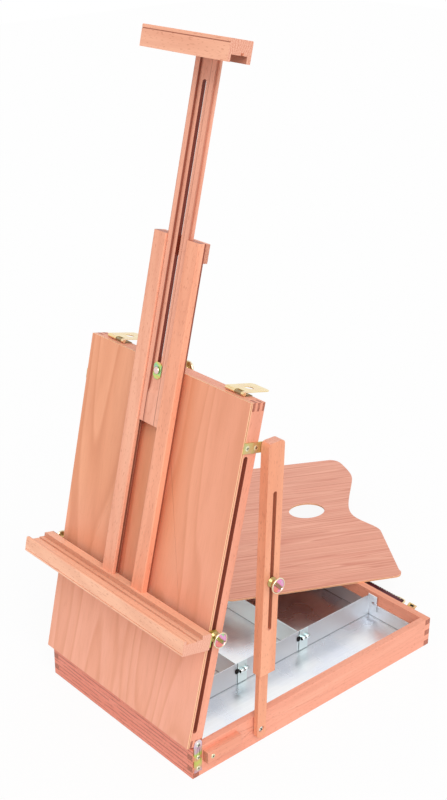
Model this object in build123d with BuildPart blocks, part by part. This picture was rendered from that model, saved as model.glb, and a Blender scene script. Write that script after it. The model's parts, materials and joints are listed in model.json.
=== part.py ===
from build123d import *
import math
import os

# Table-top sketch-box easel (pochade box) in oiled beech, standing open on a table.
# +X is the painter's right, -Y faces the painter, +Z is up. The origin is the middle of
# the base's underside. The base is a shallow finger-jointed box lined with a metal tray.
# The lid is hinged at the painter's end and held up by a telescoping strut on each side.
# A carriage (canvas ledge, two rails and a batten) slides on the lid's outer face, and a
# mast with the upper canvas clamp slides between the rails.

os.makedirs("parts", exist_ok=True)

# ------------------------------------------------------------ driving dimensions, mm
BOX_W = 315.0           # width of base and lid, along X
BOX_D = 480.0           # depth of the base, hinge end to handle end, along Y
BASE_H = 47.0
WALL = 11.0             # beech walls of base and lid
BOTTOM_T = 3.0          # plywood bottom
BOTTOM_REBATE = 5.0     # how far the walls' rebate lies in from the outer faces
BASE_FINGERS = 5        # finger levels over the base's height

LID_L = 476.0
LID_T = 25.0            # walls and panel together
PANEL_T = 4.0
LID_FINGERS = 5
LID_ANGLE = 77.4        # lid opened from closed, degrees
HINGE_INSET = 8.0       # hinge pivot from the base's hinge-end face
HINGE_RISE = 8.0        # hinge pivot above the base's rim
LID_SETBACK = 4.0       # the lid is this much shorter than the base, at the hinge end
LID_GAP = 0.5           # closed lid over the rim
LID_EDGE_BEVEL = 1.5    # on the lid's inner edge, which swings past the rim

PIN_R = 2.5             # pivot screws
BOLT_R = 3.0            # clamp bolts
RUN = 0.05              # radial clearance of a running fit
SEAT = 0.02             # radial clearance of a screw in wood

TRAY_H = 24.5
SHEET = 0.6             # tray metal
TRAY_GAP = 0.3
HEM_H = 5.0             # folded rim of the tray
DIVIDER_T = 0.8
DIVIDER_TOP_Z = 39.8
LONG_DIVIDER_X = 44.5
CROSS_DIVIDER_Y = {"front": -57.5, "back": 69.5}
FOLD_L = 20.0           # folded end of a cross divider
FOLD_Z = (4.4, 40.8)
NECK_Z = (22.0, 31.0)   # where it passes through the long divider
FLANGE_W = 18.0         # folded ends of the long divider
FLANGE_Z = (14.0, 43.0)

PLATE_T = 2.0           # zinc-plated strip
HINGE_PLATE_W = 13.0
HINGE_PLATE_Z = (10.0, 62.0)
HINGE_SCREW_Z = (16.0, 34.0)
PAN_R = 3.7             # screw heads
PAN_H = 1.2
LOW_HEAD_H = 0.35       # on the brackets, which the struts swing past
HEAD_SIDES = 12         # sides of screw heads, wire and knuckles

STOP_L = 61.0           # block that keeps the folded strut in line
STOP_H = 18.0
STOP_T = 10.0
STOP_Y = -222.0         # its end beside the hinge plate
STOP_Z = 31.0

STRUT_FOOT_Y = -124.0   # lower pivot of a strut
STRUT_FOOT_Z = 29.0
STRUT_X = 160.0         # inner face of the strut
STRUT_W = 27.0          # slotted upper member
STRUT_T = 14.0
STRUT_BOTTOM = 95.0     # along the strut, from the lower pivot
STRUT_OVERHANG = 11.5   # above the top pivot
STRUT_SLOT = (163.5, 368.0)
STRUT_SLOT_W = 6.2
CHANNEL_TOP = 385.0
BAR_W = 16.0            # lower bar, which runs in the upper member's channel
BAR_T = 7.0
BAR_ENDS = (-13.0, 250.0)
BAR_BOLT = 237.6
STRUT_BOLT_R = 2.75
BAR_FIT = 0.15          # side clearance of the bar in its channel

BRACKET_S = 418.3       # strut bracket, along the lid
BRACKET_W = 14.0
BRACKET_N = (-25.0, 24.0)
BRACKET_SCREW_N = (3.7, 18.4)
BRACKET_PIVOT_N = -18.0

SIDE_SLOT_S = (22.0, 407.0)
SIDE_SLOT_N = 16.5
SIDE_SLOT_W = 6.6

CARRIAGE_S = 165.0      # ledge bolts, along the lid, where the carriage is clamped
LEDGE_W = 343.0
LEDGE_N = (33.3, 79.5)
LEDGE_S = (154.3, 177.5)
LEDGE_LIP_S = 175.5     # top of the front lip
LEDGE_GROOVE_S = 170.5
LEDGE_STEP_S = 172.0
RAIL_X = (19.75, 43.25)
RAIL_N = (32.4, 43.9)
RAIL_TOP_S = 643.0
RAIL_GROOVE = 3.2       # groove depth in a rail's inner face
BATTEN_H = 24.5
BATTEN_N = (25.4, 32.4)
LEDGE_BRACKET_W = 16.0

MAST_W = 39.0
MAST_N = (32.7, 41.0)
MAST_S = (399.0, 875.0)
TONGUE = 3.0            # mast's tongue in the rails
TONGUE_N = (35.2, 38.4)
TONGUE_FIT = 0.2
MAST_CHANNEL_W = 21.0
MAST_CHANNEL_T = 2.5
MAST_CHANNEL_S = 438.0
MAST_SLOT_S = (461.0, 832.0)
MAST_SLOT_W = 6.6
CLAMP_S = 470.5         # mast clamp bolt, in the middle of the lid's top wall

HEAD_W = 157.0
HEAD_S = (857.0, 883.0)
HEAD_N = (45.0, 81.0)
HEAD_CHANNEL_N = (51.3, 76.8)
HEAD_CHANNEL_H = 8.3
HEAD_LINE_S = 878.5     # rabbet line along the head's front face

KNOB_R = 11.0           # disc
KNOB_FOOT_R = 7.6
KNOB_NECK_R = 4.6
KNOB_DISH_R = 9.0
KNOB_H = 14.5
TURNED_SIDES = 14       # sides of small turned pieces

LATCH_X = 118.0
LATCH_W = 33.0
LATCH_SHEET = 1.2
LATCH_AXIS_S = 479.3
LATCH_AXIS_N = 14.5
LATCH_REACH = 45.0      # knuckle to the flap's end
LATCH_DROP = 1.0        # the flap leans this far towards the wall, degrees
KNUCKLE_R = 2.7
KNUCKLE_W = 17.0
LATCH_NOTCH_W = 11.5    # cut in the flap for the leaf's barrel
LATCH_HOLE = 12.0
LATCH_HOLE_N = -8.0

HANDLE_X = 90.0         # outer end of the handle's rings
HANDLE_Y = 245.5        # handle pivot
HANDLE_Z = 29.0
HANDLE_ANGLE = 15.0     # handle above horizontal
RING_L = 20.0           # rectangular wire rings
RING_DEPTH = 19.0
RING_WIRE_R = 1.5
STRAP_W = 14.0
STRAP_T = 6.6
STRAP_END_T = 5.4

PALETTE_T = 3.0
PALETTE_CORNER = (39.4, 303.8)
PALETTE_TURN = 154.0    # direction of its long side, degrees from +X
PALETTE_NEAR = -13.0    # its edges, measured from the corner
PALETTE_FAR = 413.0
PALETTE_BACK = 300.0
PALETTE_WAVE = ((128, -21.6), (154.7, -14), (191, 3.6), (241, -6), (315, -41), (388, -47.8))
THUMB_CENTRE = (230.5, 76.5)
THUMB_RADII = (26.0, 32.5)

# ------------------------------------------------------------ derived planes and places
half_w = BOX_W / 2
half_d = BOX_D / 2
SIDES = ((1, "right"), (-1, "left"))
hinge_y = -half_d + HINGE_INSET
hinge_z = BASE_H + HINGE_RISE
pivot_s = HINGE_INSET - LID_SETBACK
pivot_n = HINGE_RISE - LID_GAP
lid_wall_n = LID_T - PANEL_T
tilt = math.radians(LID_ANGLE)
along_lid = Vector(0, math.cos(tilt), math.sin(tilt))
out_of_lid = Vector(0, -math.sin(tilt), math.cos(tilt))
lid_corner = Vector(0, hinge_y, hinge_z) - along_lid * pivot_s - out_of_lid * pivot_n

# LID has x across, y along the lid from its hinge end (s) and z out of its open side (n).
# LID_SIDE has x along the lid, y out of it and z across, for profiles that run across.
LID = Plane(origin=lid_corner, x_dir=(1, 0, 0), z_dir=out_of_lid)
LID_SIDE = Plane(origin=lid_corner, x_dir=along_lid, z_dir=(1, 0, 0))

strut_top = lid_corner + along_lid * BRACKET_S + out_of_lid * BRACKET_PIVOT_N
strut_rise = Vector(0, strut_top.Y - STRUT_FOOT_Y, strut_top.Z - STRUT_FOOT_Z)
strut_pivots = strut_rise.length
STRUT_TOP = strut_pivots + STRUT_OVERHANG


def write(piece, name):
    piece.part.label = name
    export_step(piece.part, f"parts/{name}.step")


def bore(face, out, place, radius, depth):
    """A blind hole. out is +1 or -1, the side of the plane that faces outwards."""
    with BuildSketch(face) as hole:
        with Locations(place):
            Circle(radius)
    extrude(hole.sketch, amount=-out * depth, mode=Mode.SUBTRACT)


def screw_heads(face, out, places, plate, height=PAN_H):
    """Heads of wood screws, seated on a plate of the given thickness that lies on the plane."""
    with BuildSketch(face.offset(out * plate)) as heads:
        with Locations(*places):
            RegularPolygon(PAN_R, HEAD_SIDES)
    extrude(heads.sketch, amount=out * height)


def finger_levels(height, count, first):
    """Middle heights of every other finger of a corner joint, from the first or second."""
    return [(i + 0.5) * height / count for i in range(first, count, 2)]


def strut_plane(x):
    """x along the strut from its lower pivot, y towards the painter, z across."""
    return Plane(origin=(x, STRUT_FOOT_Y, STRUT_FOOT_Z), x_dir=strut_rise, z_dir=(1, 0, 0))


def between(low, high):
    return (low + high) / 2, high - low


# Screws in the sides of the base, as (y, z).
hinge_screws = [(hinge_y, z) for z in HINGE_SCREW_Z]
stop_screws = [(STOP_Y + STOP_H / 2, STOP_Z)]
staple_mid = HANDLE_X - RING_L / 2
FAR_FACE = Plane.XZ.offset(-half_d)


# ------------------------------------------------------------ base: walls and bottom
# The end walls keep the first, third and fifth finger at each corner, the side walls the
# others. All four are rebated inside at the bottom for the plywood.
base_finger = BASE_H / BASE_FINGERS

for end, name in ((-1, "base_hinge_wall"), (1, "base_far_wall")):
    y = end * (half_d - WALL / 2)
    sockets = [
        (side * (half_w - WALL / 2), y, z)
        for side, _ in SIDES
        for z in finger_levels(BASE_H, BASE_FINGERS, 1)
    ]
    with BuildPart() as base_end_wall:
        with Locations((0, y, BASE_H / 2)):
            Box(BOX_W, WALL, BASE_H)
        with Locations(*sockets):
            Box(WALL, WALL, base_finger, mode=Mode.SUBTRACT)
        with Locations((0, 0, BOTTOM_T / 2)):
            Box(BOX_W - 2 * BOTTOM_REBATE, BOX_D - 2 * BOTTOM_REBATE, BOTTOM_T, mode=Mode.SUBTRACT)
    write(base_end_wall, name)

for side, hand in SIDES:
    x = side * (half_w - WALL / 2)
    sockets = [
        (x, end * (half_d - WALL / 2), z)
        for end in (-1, 1)
        for z in finger_levels(BASE_H, BASE_FINGERS, 0)
    ]
    with BuildPart() as base_side_wall:
        with Locations((x, 0, BASE_H / 2)):
            Box(WALL, BOX_D, BASE_H)
        with Locations(*sockets):
            Box(WALL, WALL, base_finger, mode=Mode.SUBTRACT)
        with Locations((0, 0, BOTTOM_T / 2)):
            Box(BOX_W - 2 * BOTTOM_REBATE, BOX_D - 2 * BOTTOM_REBATE, BOTTOM_T, mode=Mode.SUBTRACT)
        foot = (STRUT_FOOT_Y, STRUT_FOOT_Z)
        bore(Plane.YZ.offset(side * half_w), side, foot, PIN_R + SEAT, WALL)
    write(base_side_wall, f"base_{hand}_wall")

with BuildPart() as base_bottom:
    with Locations((0, 0, BOTTOM_T / 2)):
        Box(BOX_W - 2 * BOTTOM_REBATE, BOX_D - 2 * BOTTOM_REBATE, BOTTOM_T)
write(base_bottom, "base_bottom")

# ------------------------------------------------------------ base: metal tray and dividers
# The tray is folded from thin bright sheet, with a hem along its rim, and lies on the
# bottom. It reaches a little over half of the walls' height.
tray_w = BOX_W - 2 * WALL - 2 * TRAY_GAP
tray_d = BOX_D - 2 * WALL - 2 * TRAY_GAP
tray_floor = BOTTOM_T + SHEET
tray_top = BOTTOM_T + TRAY_H

with BuildPart() as tray:
    with BuildSketch(Plane.XY.offset(BOTTOM_T)):
        Rectangle(tray_w, tray_d)
    extrude(amount=TRAY_H)
    with BuildSketch(Plane.XY.offset(tray_floor)):
        Rectangle(tray_w - 2 * SHEET, tray_d - 2 * SHEET)
    extrude(amount=TRAY_H, mode=Mode.SUBTRACT)
    with BuildSketch(Plane.XY.offset(tray_top)):
        Rectangle(tray_w - 2 * SHEET, tray_d - 2 * SHEET)
        Rectangle(tray_w - 4 * SHEET, tray_d - 4 * SHEET, mode=Mode.SUBTRACT)
    extrude(amount=-HEM_H)
write(tray, "tray")

# The long divider is cut from the same sheet. Each end is folded over against the end of
# the tray as a pierced flange, and two slits take the necks of the cross dividers.
divider_end = tray_d / 2 - 2 * SHEET - TRAY_GAP
divider_z, divider_h = between(tray_floor, DIVIDER_TOP_Z)
flange_z, flange_h = between(*FLANGE_Z)
fold_z, fold_h = between(*FOLD_Z)
neck_z, neck_h = between(*NECK_Z)
SLIT_FIT = 0.1

with BuildPart() as long_divider:
    with Locations((LONG_DIVIDER_X, 0, divider_z)):
        Box(DIVIDER_T, 2 * divider_end, divider_h)
    for end in (-1, 1):
        flange_y = end * (divider_end - DIVIDER_T / 2)
        flange_x = LONG_DIVIDER_X - DIVIDER_T / 2 + FLANGE_W / 2
        with Locations((flange_x, flange_y, flange_z)):
            Box(FLANGE_W, DIVIDER_T, flange_h)
        with BuildSketch(Plane.XZ.offset(-flange_y)):
            with Locations((LONG_DIVIDER_X + FLANGE_W * 0.6, flange_z)):
                RegularPolygon(2.5, HEAD_SIDES)
        extrude(amount=2 * DIVIDER_T, both=True, mode=Mode.SUBTRACT)
    for y in CROSS_DIVIDER_Y.values():
        with Locations((LONG_DIVIDER_X, y, neck_z)):
            Box(2 * DIVIDER_T, DIVIDER_T + 2 * SLIT_FIT, neck_h + 2 * SLIT_FIT, mode=Mode.SUBTRACT)
write(long_divider, "long_divider")

# Each cross divider stands between the tray's left wall and the long divider. A neck goes
# through the slit, and its end is folded flat against the long divider's far side.
cross_left = -tray_w / 2 + 2 * SHEET + SLIT_FIT
cross_right = LONG_DIVIDER_X - DIVIDER_T / 2 - SLIT_FIT
fold_x = LONG_DIVIDER_X + DIVIDER_T + SLIT_FIT

for place, y in CROSS_DIVIDER_Y.items():
    cross_x, cross_w = between(cross_left, cross_right)
    neck_x, neck_w = between(cross_right, fold_x)
    with BuildPart() as cross_divider:
        with Locations((cross_x, y, divider_z - 0.6)):
            Box(cross_w, DIVIDER_T, divider_h - 1.2)
        with Locations((neck_x, y, neck_z)):
            Box(neck_w, DIVIDER_T, neck_h)
        with Locations((fold_x, y - DIVIDER_T / 2 + FOLD_L / 2, fold_z)):
            Box(DIVIDER_T, FOLD_L, fold_h)
    write(cross_divider, f"cross_divider_{place}")

# ------------------------------------------------------------ base: hardware on its sides
# The hinge plate stands up past the rim and carries the lid's pivot in its rounded top.
hinge_plate_mid, hinge_plate_len = between(*HINGE_PLATE_Z)

for side, hand in SIDES:
    with BuildPart() as hinge_plate:
        with BuildSketch(Plane.YZ.offset(side * half_w)):
            with Locations((hinge_y, hinge_plate_mid)):
                Rectangle(HINGE_PLATE_W, hinge_plate_len)
            fillet(vertices().group_by(Axis.Y)[-1], HINGE_PLATE_W / 2 - 0.1)
            with Locations((hinge_y, hinge_z)):
                Circle(PIN_R + RUN, mode=Mode.SUBTRACT)
        extrude(amount=side * PLATE_T)
    write(hinge_plate, f"hinge_plate_{hand}")

# A small beech block beside the hinge plate, in line with the folded strut. One screw.
for side, hand in SIDES:
    with BuildPart() as strut_stop:
        with BuildSketch(Plane.YZ.offset(side * half_w)):
            with Locations((STOP_Y + STOP_L / 2, STOP_Z)):
                Rectangle(STOP_L, STOP_H)
        extrude(amount=side * STOP_T)
        outer = faces().sort_by(Axis.X)[-1 if side > 0 else 0]
        chamfer(outer.outer_wire().edges(), 1.0)
    write(strut_stop, f"strut_stop_{hand}")

with BuildPart() as base_screws:
    for side, _ in SIDES:
        screw_heads(Plane.YZ.offset(side * half_w), side, hinge_screws, PLATE_T)
        screw_heads(Plane.YZ.offset(side * half_w), side, stop_screws, STOP_T)
write(base_screws, "base_screws")

# The struts' lower pivot screws, with a washer between the wall and the bar. The head is
# sunk flush in the bar, so that the slotted upper member can slide over it.
SCREW_HEAD_R = 4.5
SCREW_HEAD_T = 2.2
screw_end = STRUT_X + BAR_T

with BuildPart() as strut_pivot_screws:
    for side, _ in SIDES:
        with BuildSketch(Plane.YZ.offset(side * (half_w - WALL + 2))):
            with Locations((STRUT_FOOT_Y, STRUT_FOOT_Z)):
                Circle(PIN_R)
        extrude(amount=side * (screw_end - half_w + WALL - 2))
        with BuildSketch(Plane.YZ.offset(side * (screw_end - SCREW_HEAD_T))):
            with Locations((STRUT_FOOT_Y, STRUT_FOOT_Z)):
                RegularPolygon(SCREW_HEAD_R, TURNED_SIDES)
        extrude(amount=side * SCREW_HEAD_T)
write(strut_pivot_screws, "strut_pivot_screws")

with BuildPart() as strut_washers:
    for side, _ in SIDES:
        with BuildSketch(Plane.YZ.offset(side * half_w)):
            with Locations((STRUT_FOOT_Y, STRUT_FOOT_Z)):
                RegularPolygon(6.5, TURNED_SIDES)
                RegularPolygon(PIN_R + 0.1, TURNED_SIDES, mode=Mode.SUBTRACT)
        extrude(amount=side * (STRUT_X - half_w - 0.1))
write(strut_washers, "strut_washers")

# ------------------------------------------------------------ base: catches and staples
CATCH_W = 18.0
CATCH_Z = (31.0, 46.0)
CATCH_LUG = 6.0
CATCH_LUG_OUT = 5.5
lug_z = BASE_H + LID_GAP + LATCH_HOLE_N

for side, hand in SIDES:
    catch_mid, catch_h = between(*CATCH_Z)
    with BuildPart() as catch:
        with BuildSketch(FAR_FACE):
            with Locations((side * LATCH_X, catch_mid)):
                Rectangle(CATCH_W, catch_h)
        extrude(amount=-LATCH_SHEET)
        with BuildSketch(Plane.YZ.offset(side * LATCH_X)):
            with BuildLine():
                Polyline(
                    (half_d + LATCH_SHEET, lug_z - CATCH_LUG / 2),
                    (half_d + LATCH_SHEET + CATCH_LUG_OUT, lug_z),
                    (half_d + LATCH_SHEET + CATCH_LUG_OUT, lug_z + CATCH_LUG / 2),
                    (half_d + LATCH_SHEET, lug_z + CATCH_LUG / 2),
                    close=True,
                )
            make_face()
        extrude(amount=CATCH_LUG / 2, both=True)
    write(catch, f"catch_{hand}")

# Each staple is a small plate on the far wall with an eye for the handle's ring.
STAPLE_W = 18.0
STAPLE_H = 14.0
EYE_R = 3.4
EYE_L = 7.0

with BuildPart() as handle_staples:
    with BuildSketch(FAR_FACE):
        with Locations((staple_mid, HANDLE_Z), (-staple_mid, HANDLE_Z)):
            Rectangle(STAPLE_W, STAPLE_H)
    extrude(amount=-LATCH_SHEET)
    for side, _ in SIDES:
        with BuildSketch(Plane.YZ.offset(side * staple_mid)):
            with Locations(((half_d + HANDLE_Y + EYE_R) / 2, HANDLE_Z)):
                Rectangle(HANDLE_Y + EYE_R - half_d, 2 * EYE_R)
            chamfer(vertices().group_by(Axis.X)[-1], 1.6)
            with Locations((HANDLE_Y, HANDLE_Z)):
                Circle(RING_WIRE_R + RUN, mode=Mode.SUBTRACT)
        extrude(amount=EYE_L / 2, both=True)
write(handle_staples, "handle_staples")

# ------------------------------------------------------------ handle
# A padded leather strap between two wire rings. The rings' inner sides turn in the
# staples, and the strap's ends are wrapped round the rings' near uprights.
handle_tilt = math.radians(HANDLE_ANGLE)
handle_up = Vector(0, -math.sin(handle_tilt), math.cos(handle_tilt))
HANDLE = Plane(origin=(0, HANDLE_Y, HANDLE_Z), x_dir=(1, 0, 0), z_dir=handle_up)
HANDLE_EDGE = Plane(
    origin=(0, HANDLE_Y, HANDLE_Z),
    x_dir=(1, 0, 0),
    z_dir=(0, -math.cos(handle_tilt), -math.sin(handle_tilt)),
)
ring_bar = HANDLE_X - RING_L + RING_WIRE_R
strap_end = ring_bar + RING_WIRE_R + 2.2
strap_near = (RING_DEPTH - STRAP_W) / 2

with BuildPart() as handle_rings:
    for side, _ in SIDES:
        middle = side * staple_mid
        outer_bar = side * (HANDLE_X - RING_WIRE_R)
        with BuildLine(HANDLE) as half_ring:
            Polyline((middle, 0), (outer_bar, 0), (outer_bar, RING_DEPTH), (middle, RING_DEPTH))
        with BuildSketch(Plane(origin=half_ring.line @ 0, z_dir=half_ring.line % 0)):
            RegularPolygon(RING_WIRE_R, HEAD_SIDES)
        half = sweep(path=half_ring.line, transition=Transition.RIGHT)
        mirror(half, about=Plane.YZ.offset(middle))
write(handle_rings, "handle_rings")

with BuildPart() as handle_strap:
    with BuildSketch(HANDLE_EDGE.offset(-strap_near)):
        with BuildLine():
            swell = Spline(
                (-strap_end + 3, STRAP_END_T / 2),
                (-58, STRAP_T / 2),
                (0, STRAP_T / 2 + 0.2),
                (58, STRAP_T / 2),
                (strap_end - 3, STRAP_END_T / 2),
            )
            nose = ThreePointArc(swell @ 1, (strap_end, 0), (strap_end - 3, -STRAP_END_T / 2))
            under = Line(nose @ 1, (-strap_end + 3, -STRAP_END_T / 2))
            ThreePointArc(under @ 1, (-strap_end, 0), swell @ 0)
        make_face()
        with Locations((ring_bar, 0), (-ring_bar, 0)):
            RegularPolygon(RING_WIRE_R + 0.1, HEAD_SIDES, mode=Mode.SUBTRACT)
    extrude(amount=-STRAP_W)
write(handle_strap, "handle_strap")

# ------------------------------------------------------------ lid: walls and panel
# The same fingers as the base: the end walls keep the first, third and fifth. n is
# measured from the lid's open back, and the plywood panel covers the front.
lid_finger = lid_wall_n / LID_FINGERS
lid_mid = LID_L / 2
LID_TOP = Plane(origin=lid_corner + along_lid * LID_L, x_dir=(1, 0, 0), z_dir=-along_lid)
bracket_screws = [(BRACKET_S, n) for n in BRACKET_SCREW_N]

for s, name in ((WALL / 2, "lid_hinge_wall"), (LID_L - WALL / 2, "lid_top_wall")):
    sockets = [
        (side * (half_w - WALL / 2), s, n)
        for side, _ in SIDES
        for n in finger_levels(lid_wall_n, LID_FINGERS, 1)
    ]
    with BuildPart(LID) as lid_end_wall:
        with Locations((0, s, lid_wall_n / 2)):
            Box(BOX_W, WALL, lid_wall_n)
        with Locations(*sockets):
            Box(WALL, WALL, lid_finger, mode=Mode.SUBTRACT)
        if s < lid_mid:
            # the outer back edge swings close past the base's rim
            low = edges().filter_by(Axis.X).filter_by(lambda e: e.length > BOX_W - 1)
            chamfer(low.sort_by(Axis.Z)[0], LID_EDGE_BEVEL)
            with BuildSketch(LID_SIDE.offset(-half_w)):
                with Locations((pivot_s, pivot_n)):
                    Circle(PIN_R + SEAT)
            extrude(amount=BOX_W, mode=Mode.SUBTRACT)
        else:
            with BuildSketch(LID):
                with Locations((0, CLAMP_S)):
                    Circle(BOLT_R + SEAT)
            extrude(amount=LID_T, mode=Mode.SUBTRACT)
    write(lid_end_wall, name)

for side, hand in SIDES:
    x = side * (half_w - WALL / 2)
    sockets = [
        (x, s, n)
        for s in (WALL / 2, LID_L - WALL / 2)
        for n in finger_levels(lid_wall_n, LID_FINGERS, 0)
    ]
    slot_mid, slot_len = between(*SIDE_SLOT_S)
    with BuildPart(LID) as lid_side_wall:
        with Locations((x, lid_mid, lid_wall_n / 2)):
            Box(WALL, LID_L, lid_wall_n)
        with Locations(*sockets):
            Box(WALL, WALL, lid_finger, mode=Mode.SUBTRACT)
        # the long slot in which the carriage's bolts slide
        with BuildSketch(LID_SIDE.offset(x)):
            with Locations((slot_mid, SIDE_SLOT_N)):
                SlotOverall(slot_len, SIDE_SLOT_W)
            with Locations((pivot_s, pivot_n)):
                Circle(PIN_R + SEAT)
        extrude(amount=WALL, both=True, mode=Mode.SUBTRACT)
    write(lid_side_wall, f"lid_{hand}_wall")

with BuildPart() as lid_panel:
    with BuildSketch(LID.offset(lid_wall_n)):
        with Locations((0, lid_mid)):
            Rectangle(BOX_W, LID_L)
        with Locations((0, CLAMP_S)):
            Circle(BOLT_R + SEAT, mode=Mode.SUBTRACT)
    extrude(amount=PANEL_T)
write(lid_panel, "lid_panel")

# ------------------------------------------------------------ lid: hardware
# Screws that the lid turns on, fixed in its walls and free in the hinge plates.
with BuildPart() as hinge_pivot_screws:
    for side, _ in SIDES:
        with BuildSketch(LID_SIDE.offset(side * (half_w - WALL + 1))):
            with Locations((pivot_s, pivot_n)):
                Circle(PIN_R)
        extrude(amount=side * (WALL - 1 + PLATE_T + 0.1))
        with BuildSketch(LID_SIDE.offset(side * (half_w + PLATE_T + 0.1))):
            with Locations((pivot_s, pivot_n)):
                RegularPolygon(PAN_R + 0.3, TURNED_SIDES)
        extrude(amount=side * PAN_H)
write(hinge_pivot_screws, "hinge_pivot_screws")

# The strut brackets reach behind the lid. Each ends in a bevelled nose with a riveted pin
# on which the strut's head hangs.
bracket_mid, bracket_len = between(*BRACKET_N)

for side, hand in SIDES:
    with BuildPart() as bracket_plate:
        with BuildSketch(LID_SIDE.offset(side * half_w)):
            with Locations((BRACKET_S, bracket_mid)):
                Rectangle(BRACKET_W, bracket_len)
            chamfer(vertices().group_by(Axis.Y)[0], 4.5)
        extrude(amount=side * PLATE_T)
        with BuildSketch(LID_SIDE.offset(side * (half_w + PLATE_T))):
            with Locations((BRACKET_S, BRACKET_PIVOT_N)):
                Circle(PIN_R)
        extrude(amount=side * (STRUT_X - half_w - PLATE_T - 0.2))
    write(bracket_plate, f"bracket_plate_{hand}")

with BuildPart() as lid_screws:
    for side, _ in SIDES:
        screw_heads(LID_SIDE.offset(side * half_w), side, bracket_screws, PLATE_T, LOW_HEAD_H)
write(lid_screws, "lid_screws")

# Latch: a leaf on the top wall with a short barrel, and a pierced flap that turns on it. The
# flap's long knuckle is left of the barrel and its short one right of it, on both latches.
LEAF_N = (0.5, 11.3)
BARREL_R = 2.0
leaf_mid, leaf_len = between(*LEAF_N)
notch_low = KNUCKLE_W - LATCH_W / 2
notch_mid = notch_low + LATCH_NOTCH_W / 2
barrel_w = LATCH_NOTCH_W - 0.6

for side, hand in SIDES:
    with BuildPart() as latch_leaf:
        with BuildSketch(LID_TOP):
            with Locations((side * LATCH_X, leaf_mid)):
                Rectangle(LATCH_W, leaf_len)
            with Locations((side * LATCH_X + notch_mid, (LEAF_N[1] + LATCH_AXIS_N) / 2)):
                Rectangle(barrel_w, LATCH_AXIS_N - LEAF_N[1])
        extrude(amount=-LATCH_SHEET)
        with BuildSketch(LID_SIDE.offset(side * LATCH_X + notch_mid)):
            with Locations((LATCH_AXIS_S, LATCH_AXIS_N)):
                Circle(BARREL_R)
            with Locations((LATCH_AXIS_S - BARREL_R, LATCH_AXIS_N - 1.0)):
                Rectangle(2.0, 2.0)
        extrude(amount=barrel_w / 2, both=True)
    write(latch_leaf, f"latch_leaf_{hand}")

drop = math.radians(LATCH_DROP)
flap_back = -along_lid * math.sin(drop) - out_of_lid * math.cos(drop)
flap_up = along_lid * math.cos(drop) - out_of_lid * math.sin(drop)
flap_origin = lid_corner + along_lid * LATCH_AXIS_S + out_of_lid * LATCH_AXIS_N
hole_reach = (LATCH_AXIS_N - LATCH_HOLE_N) / math.cos(drop)

# FLAP has x across and y from the knuckles to the flap's end.
FLAP = Plane(origin=flap_origin, x_dir=(1, 0, 0), z_dir=flap_up)
FLAP_EDGE = Plane(origin=flap_origin, x_dir=flap_back, z_dir=(1, 0, 0))

for side, hand in SIDES:
    x = side * LATCH_X
    with BuildPart() as latch_flap:
        with BuildSketch(FLAP.offset(KNUCKLE_R - LATCH_SHEET)):
            with Locations((x, LATCH_REACH / 2)):
                Rectangle(LATCH_W, LATCH_REACH)
            fillet(vertices().group_by(Axis.Y)[-1], 6.0)
            with Locations((x, hole_reach)):
                Circle(LATCH_HOLE / 2, mode=Mode.SUBTRACT)
            with Locations((x + notch_mid, 0)):
                Rectangle(LATCH_NOTCH_W, 8, mode=Mode.SUBTRACT)
        extrude(amount=LATCH_SHEET)
        notch_high = notch_low + LATCH_NOTCH_W
        for low, high in ((-LATCH_W / 2, notch_low), (notch_high, LATCH_W / 2)):
            knuckle_mid, knuckle_w = between(low, high)
            with BuildSketch(FLAP_EDGE.offset(x + knuckle_mid)):
                RegularPolygon(KNUCKLE_R, HEAD_SIDES, rotation=180 / HEAD_SIDES)
            extrude(amount=knuckle_w / 2, both=True)
    write(latch_flap, f"latch_flap_{hand}")

# The mast's clamp bolt goes through the panel and the top wall to a knob behind.
WASHER_W = 14.5
WASHER_L = 22.0
WASHER_T = 1.2
washer_n = MAST_N[1] - MAST_CHANNEL_T + 0.2

with BuildPart() as mast_washer:
    with BuildSketch(LID.offset(washer_n)):
        with Locations((0, CLAMP_S)):
            Rectangle(WASHER_W, WASHER_L)
            chamfer(vertices(), 4.0)
            Circle(BOLT_R + RUN, mode=Mode.SUBTRACT)
    extrude(amount=WASHER_T)
write(mast_washer, "mast_washer")

with BuildPart() as mast_bolt:
    with BuildSketch(LID.offset(-10)):
        with Locations((0, CLAMP_S)):
            Circle(BOLT_R)
    extrude(amount=10 + washer_n + WASHER_T)
    with BuildSketch(LID.offset(washer_n + WASHER_T)):
        with Locations((0, CLAMP_S)):
            RegularPolygon(5.0, TURNED_SIDES)
    extrude(amount=2.2)
write(mast_bolt, "mast_bolt")

# ------------------------------------------------------------ carriage: ledge
# The canvas ledge is one moulded bar: a ridge behind, a step, the canvas groove and a lip
# in front, with a scored line along the front face.
SCORE = 0.9

with BuildPart() as ledge:
    with BuildSketch(LID_SIDE.offset(-LEDGE_W / 2)):
        with BuildLine():
            Polyline(
                (LEDGE_S[0], LEDGE_N[0]),
                (LEDGE_S[1], LEDGE_N[0]),
                (LEDGE_S[1], 48.5),
                (LEDGE_STEP_S, 48.5),
                (LEDGE_STEP_S, 57.0),
                (LEDGE_GROOVE_S, 57.0),
                (LEDGE_GROOVE_S, 75.5),
                (LEDGE_LIP_S, 75.5),
                (LEDGE_LIP_S, LEDGE_N[1]),
                (LEDGE_S[0], LEDGE_N[1]),
                close=True,
            )
        make_face()
        rims = vertices().group_by(Axis.Y)[-1]
        fillet(rims, 1.2)
        with Locations((LEDGE_S[0] + 3.4, LEDGE_N[1])):
            Rectangle(SCORE, 2 * SCORE, mode=Mode.SUBTRACT)
    extrude(amount=LEDGE_W)
write(ledge, "ledge")

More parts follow.
